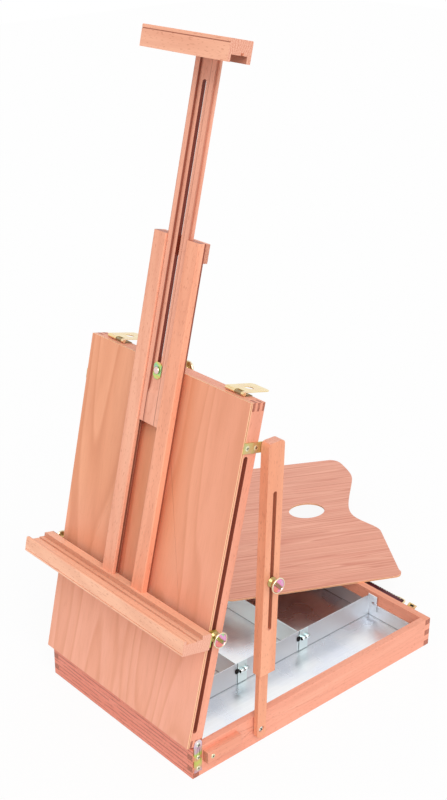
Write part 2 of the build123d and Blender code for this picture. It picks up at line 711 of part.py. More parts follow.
# ------------------------------------------------------------ carriage: rails and batten
def lid_cross(s):
    """Plane across the lid, with x along X and y out of the lid. -1 extrudes up the lid."""
    return Plane(origin=lid_corner + along_lid * s, x_dir=(1, 0, 0), z_dir=-along_lid)


rail_mid_x, rail_w = between(*RAIL_X)
rail_mid_n, rail_t = between(*RAIL_N)
groove_mid_n, groove_t = between(*TONGUE_N)

for side, hand in SIDES:
    with BuildPart() as rail:
        with BuildSketch(lid_cross(LEDGE_S[1])):
            with Locations((side * rail_mid_x, rail_mid_n)):
                Rectangle(rail_w, rail_t)
            fillet(vertices().group_by(Axis.Y)[-1], 1.5)
            with Locations((side * (RAIL_X[0] + RAIL_GROOVE / 2), groove_mid_n)):
                Rectangle(RAIL_GROOVE, groove_t + 2 * TONGUE_FIT, mode=Mode.SUBTRACT)
        extrude(amount=-(RAIL_TOP_S - LEDGE_S[1]))
    write(rail, f"rail_{hand}")

batten_mid_n, batten_t = between(*BATTEN_N)
with BuildPart() as rail_batten:
    with BuildSketch(lid_cross(RAIL_TOP_S - BATTEN_H)):
        with Locations((0, batten_mid_n)):
            Rectangle(2 * RAIL_X[1], batten_t)
    extrude(amount=-BATTEN_H)
    chamfer(edges().filter_by(Axis.X), 0.6)
write(rail_batten, "rail_batten")

# ------------------------------------------------------------ carriage: brackets and bolts
# An angle bracket at each end holds the ledge and slides along the lid's side. Its bolt
# has a T head inside the lid, which cannot turn there.
foot_x = half_w + 0.3
bracket_low = CARRIAGE_S - LEDGE_BRACKET_W / 2
T_HEAD = (18.0, 7.6, 3.0)

for side, hand in SIDES:
    with BuildPart() as ledge_bracket:
        with BuildSketch(LID_SIDE.offset(side * foot_x)):
            with Locations((CARRIAGE_S, (10 + LEDGE_N[0]) / 2)):
                Rectangle(LEDGE_BRACKET_W, LEDGE_N[0] - 10)
            chamfer(vertices().group_by(Axis.Y)[0], 4.0)
            with Locations((CARRIAGE_S, SIDE_SLOT_N)):
                Circle(BOLT_R + SEAT, mode=Mode.SUBTRACT)
        extrude(amount=side * PLATE_T)
        with BuildSketch(LID.offset(LEDGE_N[0])):
            with Locations((side * (foot_x + 6.6), CARRIAGE_S)):
                Rectangle(13.2, LEDGE_BRACKET_W)
        extrude(amount=-PLATE_T)
    write(ledge_bracket, f"ledge_bracket_{hand}")

with BuildPart(LID) as ledge_bolts:
    for side, _ in SIDES:
        head_x = half_w - WALL - 0.3 - T_HEAD[2] / 2
        with Locations((side * head_x, CARRIAGE_S, SIDE_SLOT_N)):
            Box(T_HEAD[2], T_HEAD[0], T_HEAD[1])
        with BuildSketch(LID_SIDE.offset(side * head_x)):
            with Locations((CARRIAGE_S, SIDE_SLOT_N)):
                Circle(BOLT_R)
        extrude(amount=side * (170.0 - head_x))
write(ledge_bolts, "ledge_bolts")

# ------------------------------------------------------------ mast
# A flat bar with a tongue along each edge, a shallow channel cut from its front, which
# ends in the cutter's arc, and the clamp bolt's slot down the middle.
mast_mid_n, mast_t = between(*MAST_N)
mast_floor = MAST_N[1] - MAST_CHANNEL_T
mast_slot_mid, mast_slot_len = between(*MAST_SLOT_S)

with BuildPart() as mast:
    with BuildSketch(lid_cross(MAST_S[0])):
        with Locations((0, mast_mid_n)):
            Rectangle(MAST_W, mast_t)
        chamfer(vertices(), 0.5)
        with Locations((0, groove_mid_n)):
            Rectangle(MAST_W + 2 * TONGUE, groove_t)
    extrude(amount=-(MAST_S[1] - MAST_S[0]))
    with BuildSketch(LID_SIDE):
        with BuildLine():
            start = (MAST_CHANNEL_S + 17, mast_floor)
            run_out = TangentArc(start, (MAST_CHANNEL_S, MAST_N[1]), tangent=(-1, 0))
            Polyline(
                run_out @ 1,
                (MAST_CHANNEL_S, MAST_N[1] + 2),
                (MAST_S[1] + 2, MAST_N[1] + 2),
                (MAST_S[1] + 2, mast_floor),
                start,
            )
        make_face()
    extrude(amount=MAST_CHANNEL_W / 2, both=True, mode=Mode.SUBTRACT)
    with BuildSketch(LID.offset(MAST_N[0] - 1)):
        with Locations((0, mast_slot_mid)):
            SlotOverall(mast_slot_len, MAST_SLOT_W, rotation=90)
    extrude(amount=mast_t + 2, mode=Mode.SUBTRACT)
write(mast, "mast")

# The clamp head hangs over the canvas: a lip in front, a channel and a deeper groove
# underneath, and a rabbet line along the front face.
with BuildPart() as clamp_head:
    with BuildSketch(LID_SIDE.offset(-HEAD_W / 2)):
        head_mid_s, head_h = between(*HEAD_S)
        head_mid_n, head_t = between(*HEAD_N)
        channel_mid_n, channel_w = between(*HEAD_CHANNEL_N)
        with Locations((head_mid_s, head_mid_n)):
            Rectangle(head_h, head_t)
        fillet(vertices().group_by(Axis.X)[-1], 1.5)
        with Locations((HEAD_S[0], channel_mid_n)):
            Rectangle(2 * HEAD_CHANNEL_H, channel_w, mode=Mode.SUBTRACT)
        with Locations((HEAD_S[0], 59.5)):
            Rectangle(2 * (HEAD_CHANNEL_H + 3), 5, mode=Mode.SUBTRACT)
        with Locations((HEAD_LINE_S, HEAD_N[1])):
            Rectangle(SCORE, 2 * SCORE, mode=Mode.SUBTRACT)
    extrude(amount=HEAD_W)
write(clamp_head, "clamp_head")

with BuildPart(LID) as head_block:
    block_s, block_h = between(HEAD_S[0], MAST_S[1])
    block_n, block_t = between(MAST_N[1], HEAD_N[0])
    with Locations((0, block_s, block_n)):
        Box(MAST_W - 1, block_h, block_t)
write(head_block, "head_block")

# ------------------------------------------------------------ struts
# The slotted upper member runs over the flat bar. The bar's bolt goes through the slot
# to the knob, and the bar turns on the pivot screw in the base's side.
strut_mid, strut_len = between(STRUT_BOTTOM, STRUT_TOP)
strut_channel_mid, strut_channel_len = between(STRUT_BOTTOM - 1, CHANNEL_TOP)
strut_slot_mid, strut_slot_len = between(*STRUT_SLOT)
bar_mid, bar_len = between(*BAR_ENDS)
BOLT_HEAD_R = 5.5       # hexagon, across corners
BOLT_HEAD_T = 2.4

for side, hand in SIDES:
    with BuildPart() as strut_upper:
        with BuildSketch(strut_plane(side * STRUT_X)):
            with Locations((strut_mid, 0)):
                Rectangle(strut_len, STRUT_W)
            fillet(vertices().group_by(Axis.X)[-1], 6.0)
        extrude(amount=side * STRUT_T)
        with BuildSketch(strut_plane(side * STRUT_X)):
            with Locations((strut_channel_mid, 0)):
                Rectangle(strut_channel_len, BAR_W + 2 * BAR_FIT)
        extrude(amount=side * (BAR_T + 0.3), mode=Mode.SUBTRACT)
        with BuildSketch(strut_plane(side * STRUT_X)):
            with Locations((strut_slot_mid, 0)):
                SlotOverall(strut_slot_len, STRUT_SLOT_W)
        extrude(amount=side * (STRUT_T + 1), mode=Mode.SUBTRACT)
        with BuildSketch(strut_plane(side * STRUT_X)):
            with Locations((strut_pivots, 0)):
                Circle(PIN_R + RUN)
        extrude(amount=side * 4, mode=Mode.SUBTRACT)
    write(strut_upper, f"strut_upper_{hand}")

    with BuildPart() as strut_bar:
        with BuildSketch(strut_plane(side * STRUT_X)):
            with Locations((bar_mid, 0)):
                Rectangle(bar_len, BAR_W)
            fillet(vertices().group_by(Axis.X)[0], 5.0)
            with Locations((0, 0)):
                Circle(PIN_R + RUN, mode=Mode.SUBTRACT)
            with Locations((BAR_BOLT, 0)):
                Circle(STRUT_BOLT_R + SEAT, mode=Mode.SUBTRACT)
        extrude(amount=side * BAR_T)
        with BuildSketch(strut_plane(side * screw_end)):
            RegularPolygon(SCREW_HEAD_R + 0.4, TURNED_SIDES)
        extrude(amount=-side * (SCREW_HEAD_T + 0.3), mode=Mode.SUBTRACT)
        with BuildSketch(strut_plane(side * STRUT_X)):
            with Locations((BAR_BOLT, 0)):
                RegularPolygon(BOLT_HEAD_R + SEAT, 6)
        extrude(amount=side * BOLT_HEAD_T, mode=Mode.SUBTRACT)
    write(strut_bar, f"strut_bar_{hand}")

    with BuildPart() as strut_bolt:
        with BuildSketch(strut_plane(side * (STRUT_X + 0.3))):
            with Locations((BAR_BOLT, 0)):
                RegularPolygon(BOLT_HEAD_R, 6)
        extrude(amount=side * (BOLT_HEAD_T - 0.3))
        with BuildSketch(strut_plane(side * (STRUT_X + 0.3))):
            with Locations((BAR_BOLT, 0)):
                Circle(STRUT_BOLT_R)
        extrude(amount=side * (STRUT_T + 10))
    write(strut_bolt, f"strut_bolt_{hand}")

# ------------------------------------------------------------ knobs
# Five plated clamp knobs: a flared foot, a neck that widens to a dished disc, and a grip
# bar across the dish. z of the plane points out from the seat. Each has a blind hole for
# its bolt.
KNOB_GAP = 0.15
FOOT_TOP = 3.4
DISC_LOW = 8.6
DISH_FLOOR = 11.8
RIM_TOP = 13.7
BOLT_REACH = 10.6


def clamp_knob(seat, bolt_r, name):
    up = Axis(seat.origin, seat.z_dir)
    with BuildPart() as knob:
        with BuildSketch(seat.offset(KNOB_GAP)):
            RegularPolygon(KNOB_FOOT_R, TURNED_SIDES)
        extrude(amount=FOOT_TOP - KNOB_GAP)
        chamfer(edges().group_by(up)[-1], 2.8, 2.6)
        with BuildSketch(seat.offset(DISC_LOW)):
            RegularPolygon(KNOB_R, TURNED_SIDES)
        extrude(amount=RIM_TOP - DISC_LOW)
        chamfer(faces().filter_by(up).group_by(up)[-2].edges(), 2.4, 5.8)
        with BuildSketch(seat.offset(FOOT_TOP - 1)):
            RegularPolygon(KNOB_NECK_R, TURNED_SIDES)
        extrude(amount=DISC_LOW - FOOT_TOP + 2)
        with BuildSketch(seat.offset(DISH_FLOOR)):
            RegularPolygon(KNOB_DISH_R, TURNED_SIDES)
        extrude(amount=RIM_TOP - DISH_FLOOR, mode=Mode.SUBTRACT)
        chamfer(faces().filter_by(up).sort_by(up)[-1].inner_wires()[0].edges(), 1.2, 1.2)
        with BuildSketch(seat.offset(DISH_FLOOR - 0.4)):
            Rectangle(2 * KNOB_DISH_R - 1, 3.0)
        extrude(amount=KNOB_H - DISH_FLOOR + 0.4)
        with BuildSketch(seat.offset(KNOB_GAP)):
            RegularPolygon(bolt_r + RUN, TURNED_SIDES, major_radius=False)
        extrude(amount=BOLT_REACH - KNOB_GAP, mode=Mode.SUBTRACT)
    write(knob, name)


def out_of_side(point, side, roll):
    """Seat on a side of the box, with z pointing away from it."""
    return Plane(origin=point, x_dir=roll, z_dir=(side, 0, 0))


ledge_bolt = lid_corner + along_lid * CARRIAGE_S + out_of_lid * SIDE_SLOT_N
strut_bolt_place = Vector(0, STRUT_FOOT_Y, STRUT_FOOT_Z) + strut_rise.normalized() * BAR_BOLT
mast_bolt_place = lid_corner + along_lid * CLAMP_S

for side, hand in SIDES:
    ledge_seat = Vector(side * (foot_x + PLATE_T), ledge_bolt.Y, ledge_bolt.Z)
    strut_seat = Vector(side * (STRUT_X + STRUT_T), strut_bolt_place.Y, strut_bolt_place.Z)
    clamp_knob(out_of_side(ledge_seat, side, along_lid), BOLT_R, f"ledge_knob_{hand}")
    clamp_knob(out_of_side(strut_seat, side, strut_rise), STRUT_BOLT_R, f"strut_knob_{hand}")

mast_seat = Plane(origin=mast_bolt_place, x_dir=(1, 0, 0), z_dir=-out_of_lid)
clamp_knob(mast_seat, BOLT_R, "mast_knob")

# ------------------------------------------------------------ palette
# A plywood palette lies across the far end of the base, flat on the rims. Its far edge is
# cut in a long wave, and the thumb hole is a slightly turned oval.
PALETTE = Plane(
    origin=(PALETTE_CORNER[0], PALETTE_CORNER[1], BASE_H),
    x_dir=(math.cos(math.radians(PALETTE_TURN)), math.sin(math.radians(PALETTE_TURN)), 0),
    z_dir=(0, 0, 1),
)

with BuildPart() as palette:
    with BuildSketch(PALETTE):
        with BuildLine():
            short = Line((PALETTE_NEAR, PALETTE_BACK - 20), (PALETTE_NEAR, 10.7))
            corner = TangentArc(short @ 1, (4.6, -2.0), tangent=short % 1)
            straight = Line(corner @ 1, PALETTE_WAVE[0])
            wave = Spline(*PALETTE_WAVE, tangents=(straight % 1, (1, 0.1)))
            far_corner = TangentArc(wave @ 1, (407.5, -32), tangent=wave % 1)
            far = Line(far_corner @ 1, (PALETTE_FAR, PALETTE_BACK - 20))
            back_far = TangentArc(far @ 1, (PALETTE_FAR - 20, PALETTE_BACK), tangent=far % 1)
            back = Line(back_far @ 1, (PALETTE_NEAR + 20, PALETTE_BACK))
            TangentArc(back @ 1, short @ 0, tangent=back % 1)
        make_face()
        with Locations(THUMB_CENTRE):
            Ellipse(*THUMB_RADII, rotation=8, mode=Mode.SUBTRACT)
    extrude(amount=PALETTE_T)
write(palette, "palette")
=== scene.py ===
import bpy
import bmesh
import json
import math
from mathutils import Matrix, Vector


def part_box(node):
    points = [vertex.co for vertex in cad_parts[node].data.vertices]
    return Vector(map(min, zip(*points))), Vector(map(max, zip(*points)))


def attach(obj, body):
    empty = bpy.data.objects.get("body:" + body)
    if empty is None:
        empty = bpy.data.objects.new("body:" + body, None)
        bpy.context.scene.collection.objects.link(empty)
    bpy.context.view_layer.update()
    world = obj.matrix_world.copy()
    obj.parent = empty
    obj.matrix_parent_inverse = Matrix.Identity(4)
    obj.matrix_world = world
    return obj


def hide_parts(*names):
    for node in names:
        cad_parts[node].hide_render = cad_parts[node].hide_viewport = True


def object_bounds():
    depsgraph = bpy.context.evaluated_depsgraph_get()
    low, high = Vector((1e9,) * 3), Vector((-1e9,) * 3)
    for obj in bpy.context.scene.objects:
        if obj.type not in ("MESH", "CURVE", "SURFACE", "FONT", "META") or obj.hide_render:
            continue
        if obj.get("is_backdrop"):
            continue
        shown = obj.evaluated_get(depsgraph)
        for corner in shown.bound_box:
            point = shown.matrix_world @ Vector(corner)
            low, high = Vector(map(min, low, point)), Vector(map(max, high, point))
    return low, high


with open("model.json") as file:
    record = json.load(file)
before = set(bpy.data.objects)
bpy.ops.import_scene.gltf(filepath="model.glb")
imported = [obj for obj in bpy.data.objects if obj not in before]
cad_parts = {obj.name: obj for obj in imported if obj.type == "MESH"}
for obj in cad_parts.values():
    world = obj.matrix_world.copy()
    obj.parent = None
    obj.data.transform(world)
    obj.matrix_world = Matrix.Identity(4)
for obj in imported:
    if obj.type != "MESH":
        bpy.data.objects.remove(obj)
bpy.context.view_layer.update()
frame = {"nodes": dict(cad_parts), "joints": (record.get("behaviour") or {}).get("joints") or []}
pieces = frame["nodes"]

# ---- Camera
# It stands at the painter's right, a little above the mast's clamp, and looks down on the
# easel. The lens is a short telephoto, with a small shift that frames the whole height.
CAMERA_PLACE = Vector((1.17588, -1.11726, 1.14792))
CAMERA_TURN = math.radians(50.30)
CAMERA_RISE = math.radians(25.9)
CAMERA_ROLL = math.radians(-0.65)
SENSOR_MM = 36.0
LENS_MM = 57.906
LENS_SHIFT = (0.0661, 0.0555)
SIGHT = 30                  # metres
back = Vector((
    math.sin(CAMERA_TURN) * math.cos(CAMERA_RISE),
    -math.cos(CAMERA_TURN) * math.cos(CAMERA_RISE),
    math.sin(CAMERA_RISE),
))
level = Vector((math.cos(CAMERA_TURN), math.sin(CAMERA_TURN), 0))
upright = back.cross(level)
across = level * math.cos(CAMERA_ROLL) + upright * math.sin(CAMERA_ROLL)
upward = upright * math.cos(CAMERA_ROLL) - level * math.sin(CAMERA_ROLL)
camera_data = bpy.data.cameras.new("camera")
camera_data.sensor_fit = "VERTICAL"
camera_data.sensor_height = SENSOR_MM
camera_data.lens = LENS_MM
camera_data.shift_x, camera_data.shift_y = LENS_SHIFT
camera_data.clip_end = SIGHT
camera = bpy.data.objects.new("camera", camera_data)
camera.matrix_world = Matrix((across, upward, back)).transposed().to_4x4()
camera.location = CAMERA_PLACE
bpy.context.scene.collection.objects.link(camera)
bpy.context.scene.camera = camera
bpy.context.scene.view_settings.view_transform = "Standard"


# ---- Table top, daylight and lamp
# A white paper sweep in soft white light from all round, with one broad lamp on the
# painter's right. What the camera and polished metal see of the room is plain white.
def wire(node, inputs):
    """Sets inputs by socket name or number: a socket is linked, any other value is set."""
    for key, value in inputs.items():
        if isinstance(value, bpy.types.NodeSocket):
            node.id_data.links.new(value, node.inputs[key])
        else:
            node.inputs[key].default_value = value


def add(kind, inputs=None, out=0, tree=None, **settings):
    """Adds a node with its settings and inputs, and gives its output of that name or number.

    It goes into the tree of the sockets it is linked to: tree is for a node with none."""
    inputs = inputs or {}
    for value in inputs.values():
        if isinstance(value, bpy.types.NodeSocket):
            tree = value.id_data
    new = tree.nodes.new(kind)
    for key, value in settings.items():
        setattr(new, key, value)
    wire(new, inputs)
    return new.outputs[out] if new.outputs else new


def srgb(code):
    """Linear colour of an sRGB hex value."""
    steps = [int(code[i:i + 2], 16) / 255 for i in (1, 3, 5)]
    linear = [c / 12.92 if c <= 0.04045 else ((c + 0.055) / 1.055) ** 2.4 for c in steps]
    return (*linear, 1.0)


def looked_at(tree):
    """1 for what the camera and polished metal see, and 0 for light on its way."""
    rays = add("ShaderNodeLightPath", tree=tree).node.outputs
    return add("ShaderNodeMath", {0: rays["Is Camera Ray"], 1: rays["Is Glossy Ray"]},
               operation="MAXIMUM")


PAPER = srgb("#FFFFFF")
PAPER_GLOW = 0.92           # share of plain white in the paper that is looked at
SWEEP_HALF = 6.0            # metres
SWEEP_DROP = 0.0005
ROOM_LIGHT = 0.62
LAMP_ENERGY = 1.78
LAMP_ANGLE = math.radians(40)
LAMP_FROM = Vector((0.70, -0.39, 0.72))
sheet_mesh = bpy.data.meshes.new("paper_sweep")
sheet_mesh.from_pydata([(x * SWEEP_HALF, y * SWEEP_HALF, -SWEEP_DROP)
                        for x, y in ((-1, -1), (1, -1), (1, 1), (-1, 1))], [], [(0, 1, 2, 3)])
paper_sweep = bpy.data.objects.new("paper_sweep", sheet_mesh)
bpy.context.scene.collection.objects.link(paper_sweep)
paper = bpy.data.materials.new("white paper")
paper.use_nodes = True
tree = paper.node_tree
tree.nodes.clear()
share = add("ShaderNodeMath", {0: looked_at(tree), 1: PAPER_GLOW}, operation="MULTIPLY")
matt = add("ShaderNodeBsdfDiffuse", {"Color": srgb("#F2F2F2")}, tree=tree)
glow = add("ShaderNodeEmission", {"Color": PAPER, "Strength": 1.0}, tree=tree)
mixed = add("ShaderNodeMixShader", {0: share, 1: matt, 2: glow})
add("ShaderNodeOutputMaterial", {"Surface": mixed})
sheet_mesh.materials.append(paper)
paper_sweep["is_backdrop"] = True

room = bpy.data.worlds.new("white room")
room.use_nodes = True
bpy.context.scene.world = room
tree = room.node_tree
tree.nodes.clear()
strength = add("ShaderNodeMapRange", {0: looked_at(tree), 3: ROOM_LIGHT, 4: 1.0})
glow = add("ShaderNodeBackground", {"Color": PAPER, "Strength": strength})
add("ShaderNodeOutputWorld", {"Surface": glow})

lamp_data = bpy.data.lights.new("broad lamp", "SUN")
lamp_data.energy = LAMP_ENERGY
lamp_data.angle = LAMP_ANGLE
lamp = bpy.data.objects.new("broad lamp", lamp_data)
lamp.rotation_euler = LAMP_FROM.to_track_quat("Z", "Y").to_euler()
bpy.context.scene.collection.objects.link(lamp)


# ---- Base walls
# Four planed beech boards, finger-jointed and glued at the corners, rubbed with oil. Beech
# is pinkish and nearly plain, with fine dark flecks along the grain and darker end grain.
def finish_of(name):
    """A new material and its main shader, object coordinates and object normal."""
    made = bpy.data.materials.new(name)
    made.use_nodes = True
    shader = made.node_tree.nodes["Principled BSDF"]
    place = add("ShaderNodeTexCoord", tree=made.node_tree).node.outputs
    return made, shader, place["Object"], place["Normal"]


def along(where, grain):
    """Coordinates turned so that x runs along the grain."""
    turn = Vector((1, 0, 0)).rotation_difference(grain).inverted().to_euler()
    return add("ShaderNodeMapping", {"Vector": where, "Rotation": turn})


def streaks(where, length_mm, width_mm, detail=2.0, seed=0.0):
    """Noise drawn out along x: streaks of about that length and width."""
    size = (1000 / length_mm, 1000 / width_mm, 1000 / width_mm)
    place = add("ShaderNodeMapping", {"Vector": where, "Scale": size,
                                            "Location": (seed, seed, seed)})
    return add("ShaderNodeTexNoise", {"Vector": place, "Scale": 1.0, "Detail": detail})


def between(mask, low, high, first, last):
    """Runs from the first colour to the last as the mask runs from low to high."""
    mask = add("ShaderNodeMapRange", {0: mask, 1: low, 2: high})
    return add("ShaderNodeMixRGB", {0: mask, 1: srgb(first), 2: srgb(last)})


def stained(colour, mask, share, code, span=None):
    """The colour with a share of another over it, where the mask is 1 or beyond its span."""
    if span:
        mask = add("ShaderNodeMapRange", {0: mask, 1: span[0], 2: span[1]})
    share = add("ShaderNodeMath", {0: mask, 1: share}, operation="MULTIPLY")
    return add("ShaderNodeMixRGB", {0: share, 1: colour, 2: srgb(code)})


def waves(value, per_unit):
    """Runs from -1 to 1 and back, per_unit radians for each unit of the value."""
    turned_by = add("ShaderNodeMath", {0: value, 1: per_unit}, operation="MULTIPLY")
    return add("ShaderNodeMath", {0: turned_by}, operation="SINE")


def reach(where, direction):
    """How far a point lies along a direction, in millimetres."""
    return add("ShaderNodeVectorMath", {0: where, 1: tuple(direction * 1000)}, "Value",
               operation="DOT_PRODUCT")


def cut_across(normal, grain, low, high):
    """1 where the surface faces along the grain, and 0 on the long faces."""
    facing = add("ShaderNodeVectorMath", {0: normal, 1: tuple(grain)}, "Value",
                 operation="DOT_PRODUCT")
    facing = add("ShaderNodeMath", {0: facing}, operation="ABSOLUTE")
    return add("ShaderNodeMapRange", {0: facing, 1: low, 2: high})


ACROSS = Vector((1, 0, 0))
INWARD = Vector((0, 1, 0))
UPRIGHT = Vector((0, 0, 1))
DARK_ENDS = ("#9C5240", "#C27A60")
SHADE_FADE = 0.35           # mm


def shaded(where, normal, colour, shades, dark="#7E2F1C"):
    """Darkens places, mostly as painted shade in slots, grooves and crevices: each is a share,
    a facing direction or None, and bands that all hold.

    A band is a direction, its middle and its half width in mm."""
    for share, facing, *bands in shades:
        mask = share
        for direction, middle, half in bands:
            off = add("ShaderNodeMath", {0: reach(where, direction), 1: middle},
                      operation="SUBTRACT")
            off = add("ShaderNodeMath", {0: off}, operation="ABSOLUTE")
            inside = add("ShaderNodeMapRange", {0: off, 1: half + SHADE_FADE, 2: half})
            mask = add("ShaderNodeMath", {0: inside, 1: mask}, operation="MULTIPLY")
        if facing is not None:
            side_on = cut_across(normal, facing, 0.4, 0.6)
            mask = add("ShaderNodeMath", {0: side_on, 1: mask}, operation="MULTIPLY")
        colour = add("ShaderNodeMixRGB", {0: mask, 1: colour, 2: srgb(dark)})
    return colour


GROWTH_MM = 6.4             # between growth lines cut nearly edge on
END_RING_MM = 3.2           # between growth lines on end grain


def beech(name, grain, light="#FBB99A", deep="#F1A788", seed=0.0, ends=DARK_ENDS, shades=(),
          stripes=0.0):
    """Oiled beech, with dark stripes where the board shows its growth lines edge on."""
    made, shader, where, normal = finish_of(name)
    on_grain = along(where, grain)
    broad = streaks(on_grain, 260, 22, 1.0, seed)
    colour = between(broad, 0.3, 0.7, light, deep)
    # growth lines, 4 to 8 mm apart
    line = waves(streaks(on_grain, 520, 46, 0.0, seed + 3), 60.0)
    colour = stained(colour, line, 0.16, "#CF8265", (0.0, 1.0))
    # rays of the wood: real flecks are half as wide, and would not show
    fleck = streaks(on_grain, 6, 1.3, 0.0, seed + 7)
    colour = stained(colour, fleck, 0.38, "#BE7055", (0.66, 0.76))
    # silky shimmer of the fibres
    fibre = streaks(on_grain, 40, 0.9, 1.0, seed + 13)
    colour = stained(colour, fibre, 0.10, "#C98066", (0.45, 0.7))
    if stripes:
        # growth lines cut nearly edge on: dark, with short cross marks
        wander = streaks(on_grain, 70, 9, 2.0, seed + 17)
        height = add("ShaderNodeMath", {0: wander, 1: 5.0, 2: reach(where, UPRIGHT)},
                     operation="MULTIPLY_ADD")
        lines = add("ShaderNodeMapRange",
                    {0: waves(height, 2 * math.pi / GROWTH_MM), 1: 0.35, 2: 0.9})
        breaks = streaks(on_grain, 30, 5, 1.0, seed + 19)
        breaks = add("ShaderNodeMapRange", {0: breaks, 1: 0.35, 2: 0.5})
        lines = add("ShaderNodeMath", {0: lines, 1: breaks}, operation="MULTIPLY")
        colour = stained(colour, lines, stripes, "#9F4F41")
        marks = streaks(along(where, UPRIGHT), 7, 1.6, 0.0, seed + 23)
        colour = stained(colour, marks, 0.7 * stripes, "#9F4F41", (0.68, 0.76))
    colour = shaded(where, normal, colour, shades)
    # end grain soaks up more oil: darker and redder, with pores and slanting growth lines
    slant = grain.cross(Vector((0.5, 0.3, 0.8))).normalized()
    wander = streaks(on_grain, 200, 14, 1.0, seed + 29)
    rings = add("ShaderNodeMath", {0: wander, 1: 8.0, 2: reach(where, slant)},
                operation="MULTIPLY_ADD")
    pores = add("ShaderNodeTexNoise", {"Vector": where, "Scale": 700.0})
    pores = add("ShaderNodeMath", {0: waves(rings, 2 * math.pi / END_RING_MM),
                                         1: 0.10, 2: pores}, operation="MULTIPLY_ADD")
    cut = between(pores, 0.3, 0.7, *ends)
    end_on = cut_across(normal, grain, 0.75, 0.9)
    colour = add("ShaderNodeMixRGB", {0: end_on, 1: colour, 2: cut})
    fine = streaks(on_grain, 9, 0.5, 2.0, seed + 11)
    relief = add("ShaderNodeBump", {"Height": fine, "Strength": 0.10, "Distance": 0.0004})
    wire(shader, {"Base Color": colour, "Normal": relief, "Roughness": 0.46,
                        "Specular IOR Level": 0.4})
    return made


def dress(names, material, edge=0.0):
    """Gives CAD pieces their material, and rounds their edges by edge mm."""
    for name in names:
        piece = pieces[name]
        piece.data.materials.clear()
        piece.data.materials.append(material)
        if edge:
            weld = piece.modifiers.new("weld", "WELD")
            weld.merge_threshold = 0.00001
            bevel = piece.modifiers.new("soft edges", "BEVEL")
            bevel.width = edge / 1000
            bevel.segments = 2
            bevel.limit_method = "ANGLE"
            bevel.angle_limit = math.radians(40)
            flatten = piece.modifiers.new("flat faces", "WEIGHTED_NORMAL")
            flatten.weight = 100
            flatten.keep_sharp = False


dress(["base_left_wall", "base_right_wall"],
      beech("oiled beech board, lengthwise", INWARD, "#F8AE92", "#ED9F84", 1.0), 0.5)
dress(["base_far_wall"], beech("oiled beech board, crosswise", ACROSS, "#F5AA8D", "#E89A7C", 2.0),
      0.5)
dress(["base_hinge_wall"],
      beech("oiled beech, edge grain", ACROSS, "#F0957E", "#E4866E", 5.0, stripes=0.66), 0.5)


# ---- Base bottom
# Thin beech plywood, let into a rebate under the walls and glued there. It shows only from
# below, with its plies at the cut edge.
def veneer(name, grain, face, back_mm, ply_mm, light, deep, line_colour, lobe_mm, rings=14.0,
           seed=0.0, tones=(), shades=()):
    """Peeled veneer over plies. back_mm is where the board's back lies along face.

    A tone is a direction, the mm where it starts and is full, its share and its colour."""
    made, shader, where, normal = finish_of(name)
    on_grain = along(where, grain)
    # growth rings cut at a slant: long lobes, each darkest at its edge
    long_mm, wide_mm = lobe_mm
    ring = add("ShaderNodeMath", {0: streaks(on_grain, long_mm, wide_mm, 0.6, seed),
                                        1: rings}, operation="MULTIPLY")
    ring = add("ShaderNodeMath", {0: ring}, operation="FRACT")
    body = add("ShaderNodeMapRange", {0: ring, 1: 0.0, 2: 0.86})
    body = add("ShaderNodeMath", {0: body, 1: 1.6}, operation="POWER")
    fade = add("ShaderNodeMapRange", {0: ring, 1: 1.0, 2: 0.90})
    band = add("ShaderNodeMath", {0: body, 1: fade}, operation="MULTIPLY")
    colour = add("ShaderNodeMixRGB", {0: band, 1: srgb(light), 2: srgb(deep)})
    for direction, start, full, share, code in tones:
        near = reach(where, direction)
        colour = stained(colour, near, share, code, (start, full))
    colour = stained(colour, band, 0.3, deep)
    edge_line = add("ShaderNodeMapRange", {0: ring, 1: 0.70, 2: 0.86})
    edge_line = add("ShaderNodeMath", {0: edge_line, 1: fade}, operation="MULTIPLY")
    colour = stained(colour, edge_line, 0.14, line_colour)
    shimmer = streaks(on_grain, 90, 14, 2.0, seed + 5)
    colour = stained(colour, shimmer, 0.14, line_colour, (0.4, 0.7))
    fibres = streaks(on_grain, 24, 1.1, 2.0, seed + 9)
    colour = stained(colour, fibres, 0.16, line_colour, (0.5, 0.75))
    colour = shaded(where, normal, colour, shades)
    # the cut edge: three plies, the middle one end on and darker
    flat = cut_across(normal, face, 0.5, 0.7)
    depth = add("ShaderNodeMath", {0: reach(where, face), 1: back_mm}, operation="SUBTRACT")
    ply = add("ShaderNodeMath", {0: depth, 1: ply_mm}, operation="DIVIDE")
    ply = add("ShaderNodeMath", {0: ply, 1: 2.0}, operation="FLOORED_MODULO")
    edge = between(ply, 0.9, 1.1, "#FBC79C", "#C9825E")
    colour = add("ShaderNodeMixRGB", {0: flat, 1: edge, 2: colour})
    relief = add("ShaderNodeBump", {"Height": fibres, "Strength": 0.06, "Distance": 0.0003})
    wire(shader, {"Base Color": colour, "Normal": relief, "Roughness": 0.40,
                        "Specular IOR Level": 0.4})
    return made


dress(["base_bottom"], veneer("beech plywood, bottom", ACROSS, UPRIGHT, 0.0, 1.0, "#F0B692",
                              "#E5A680", "#C78763", (300, 60), seed=2.0), 0.3)
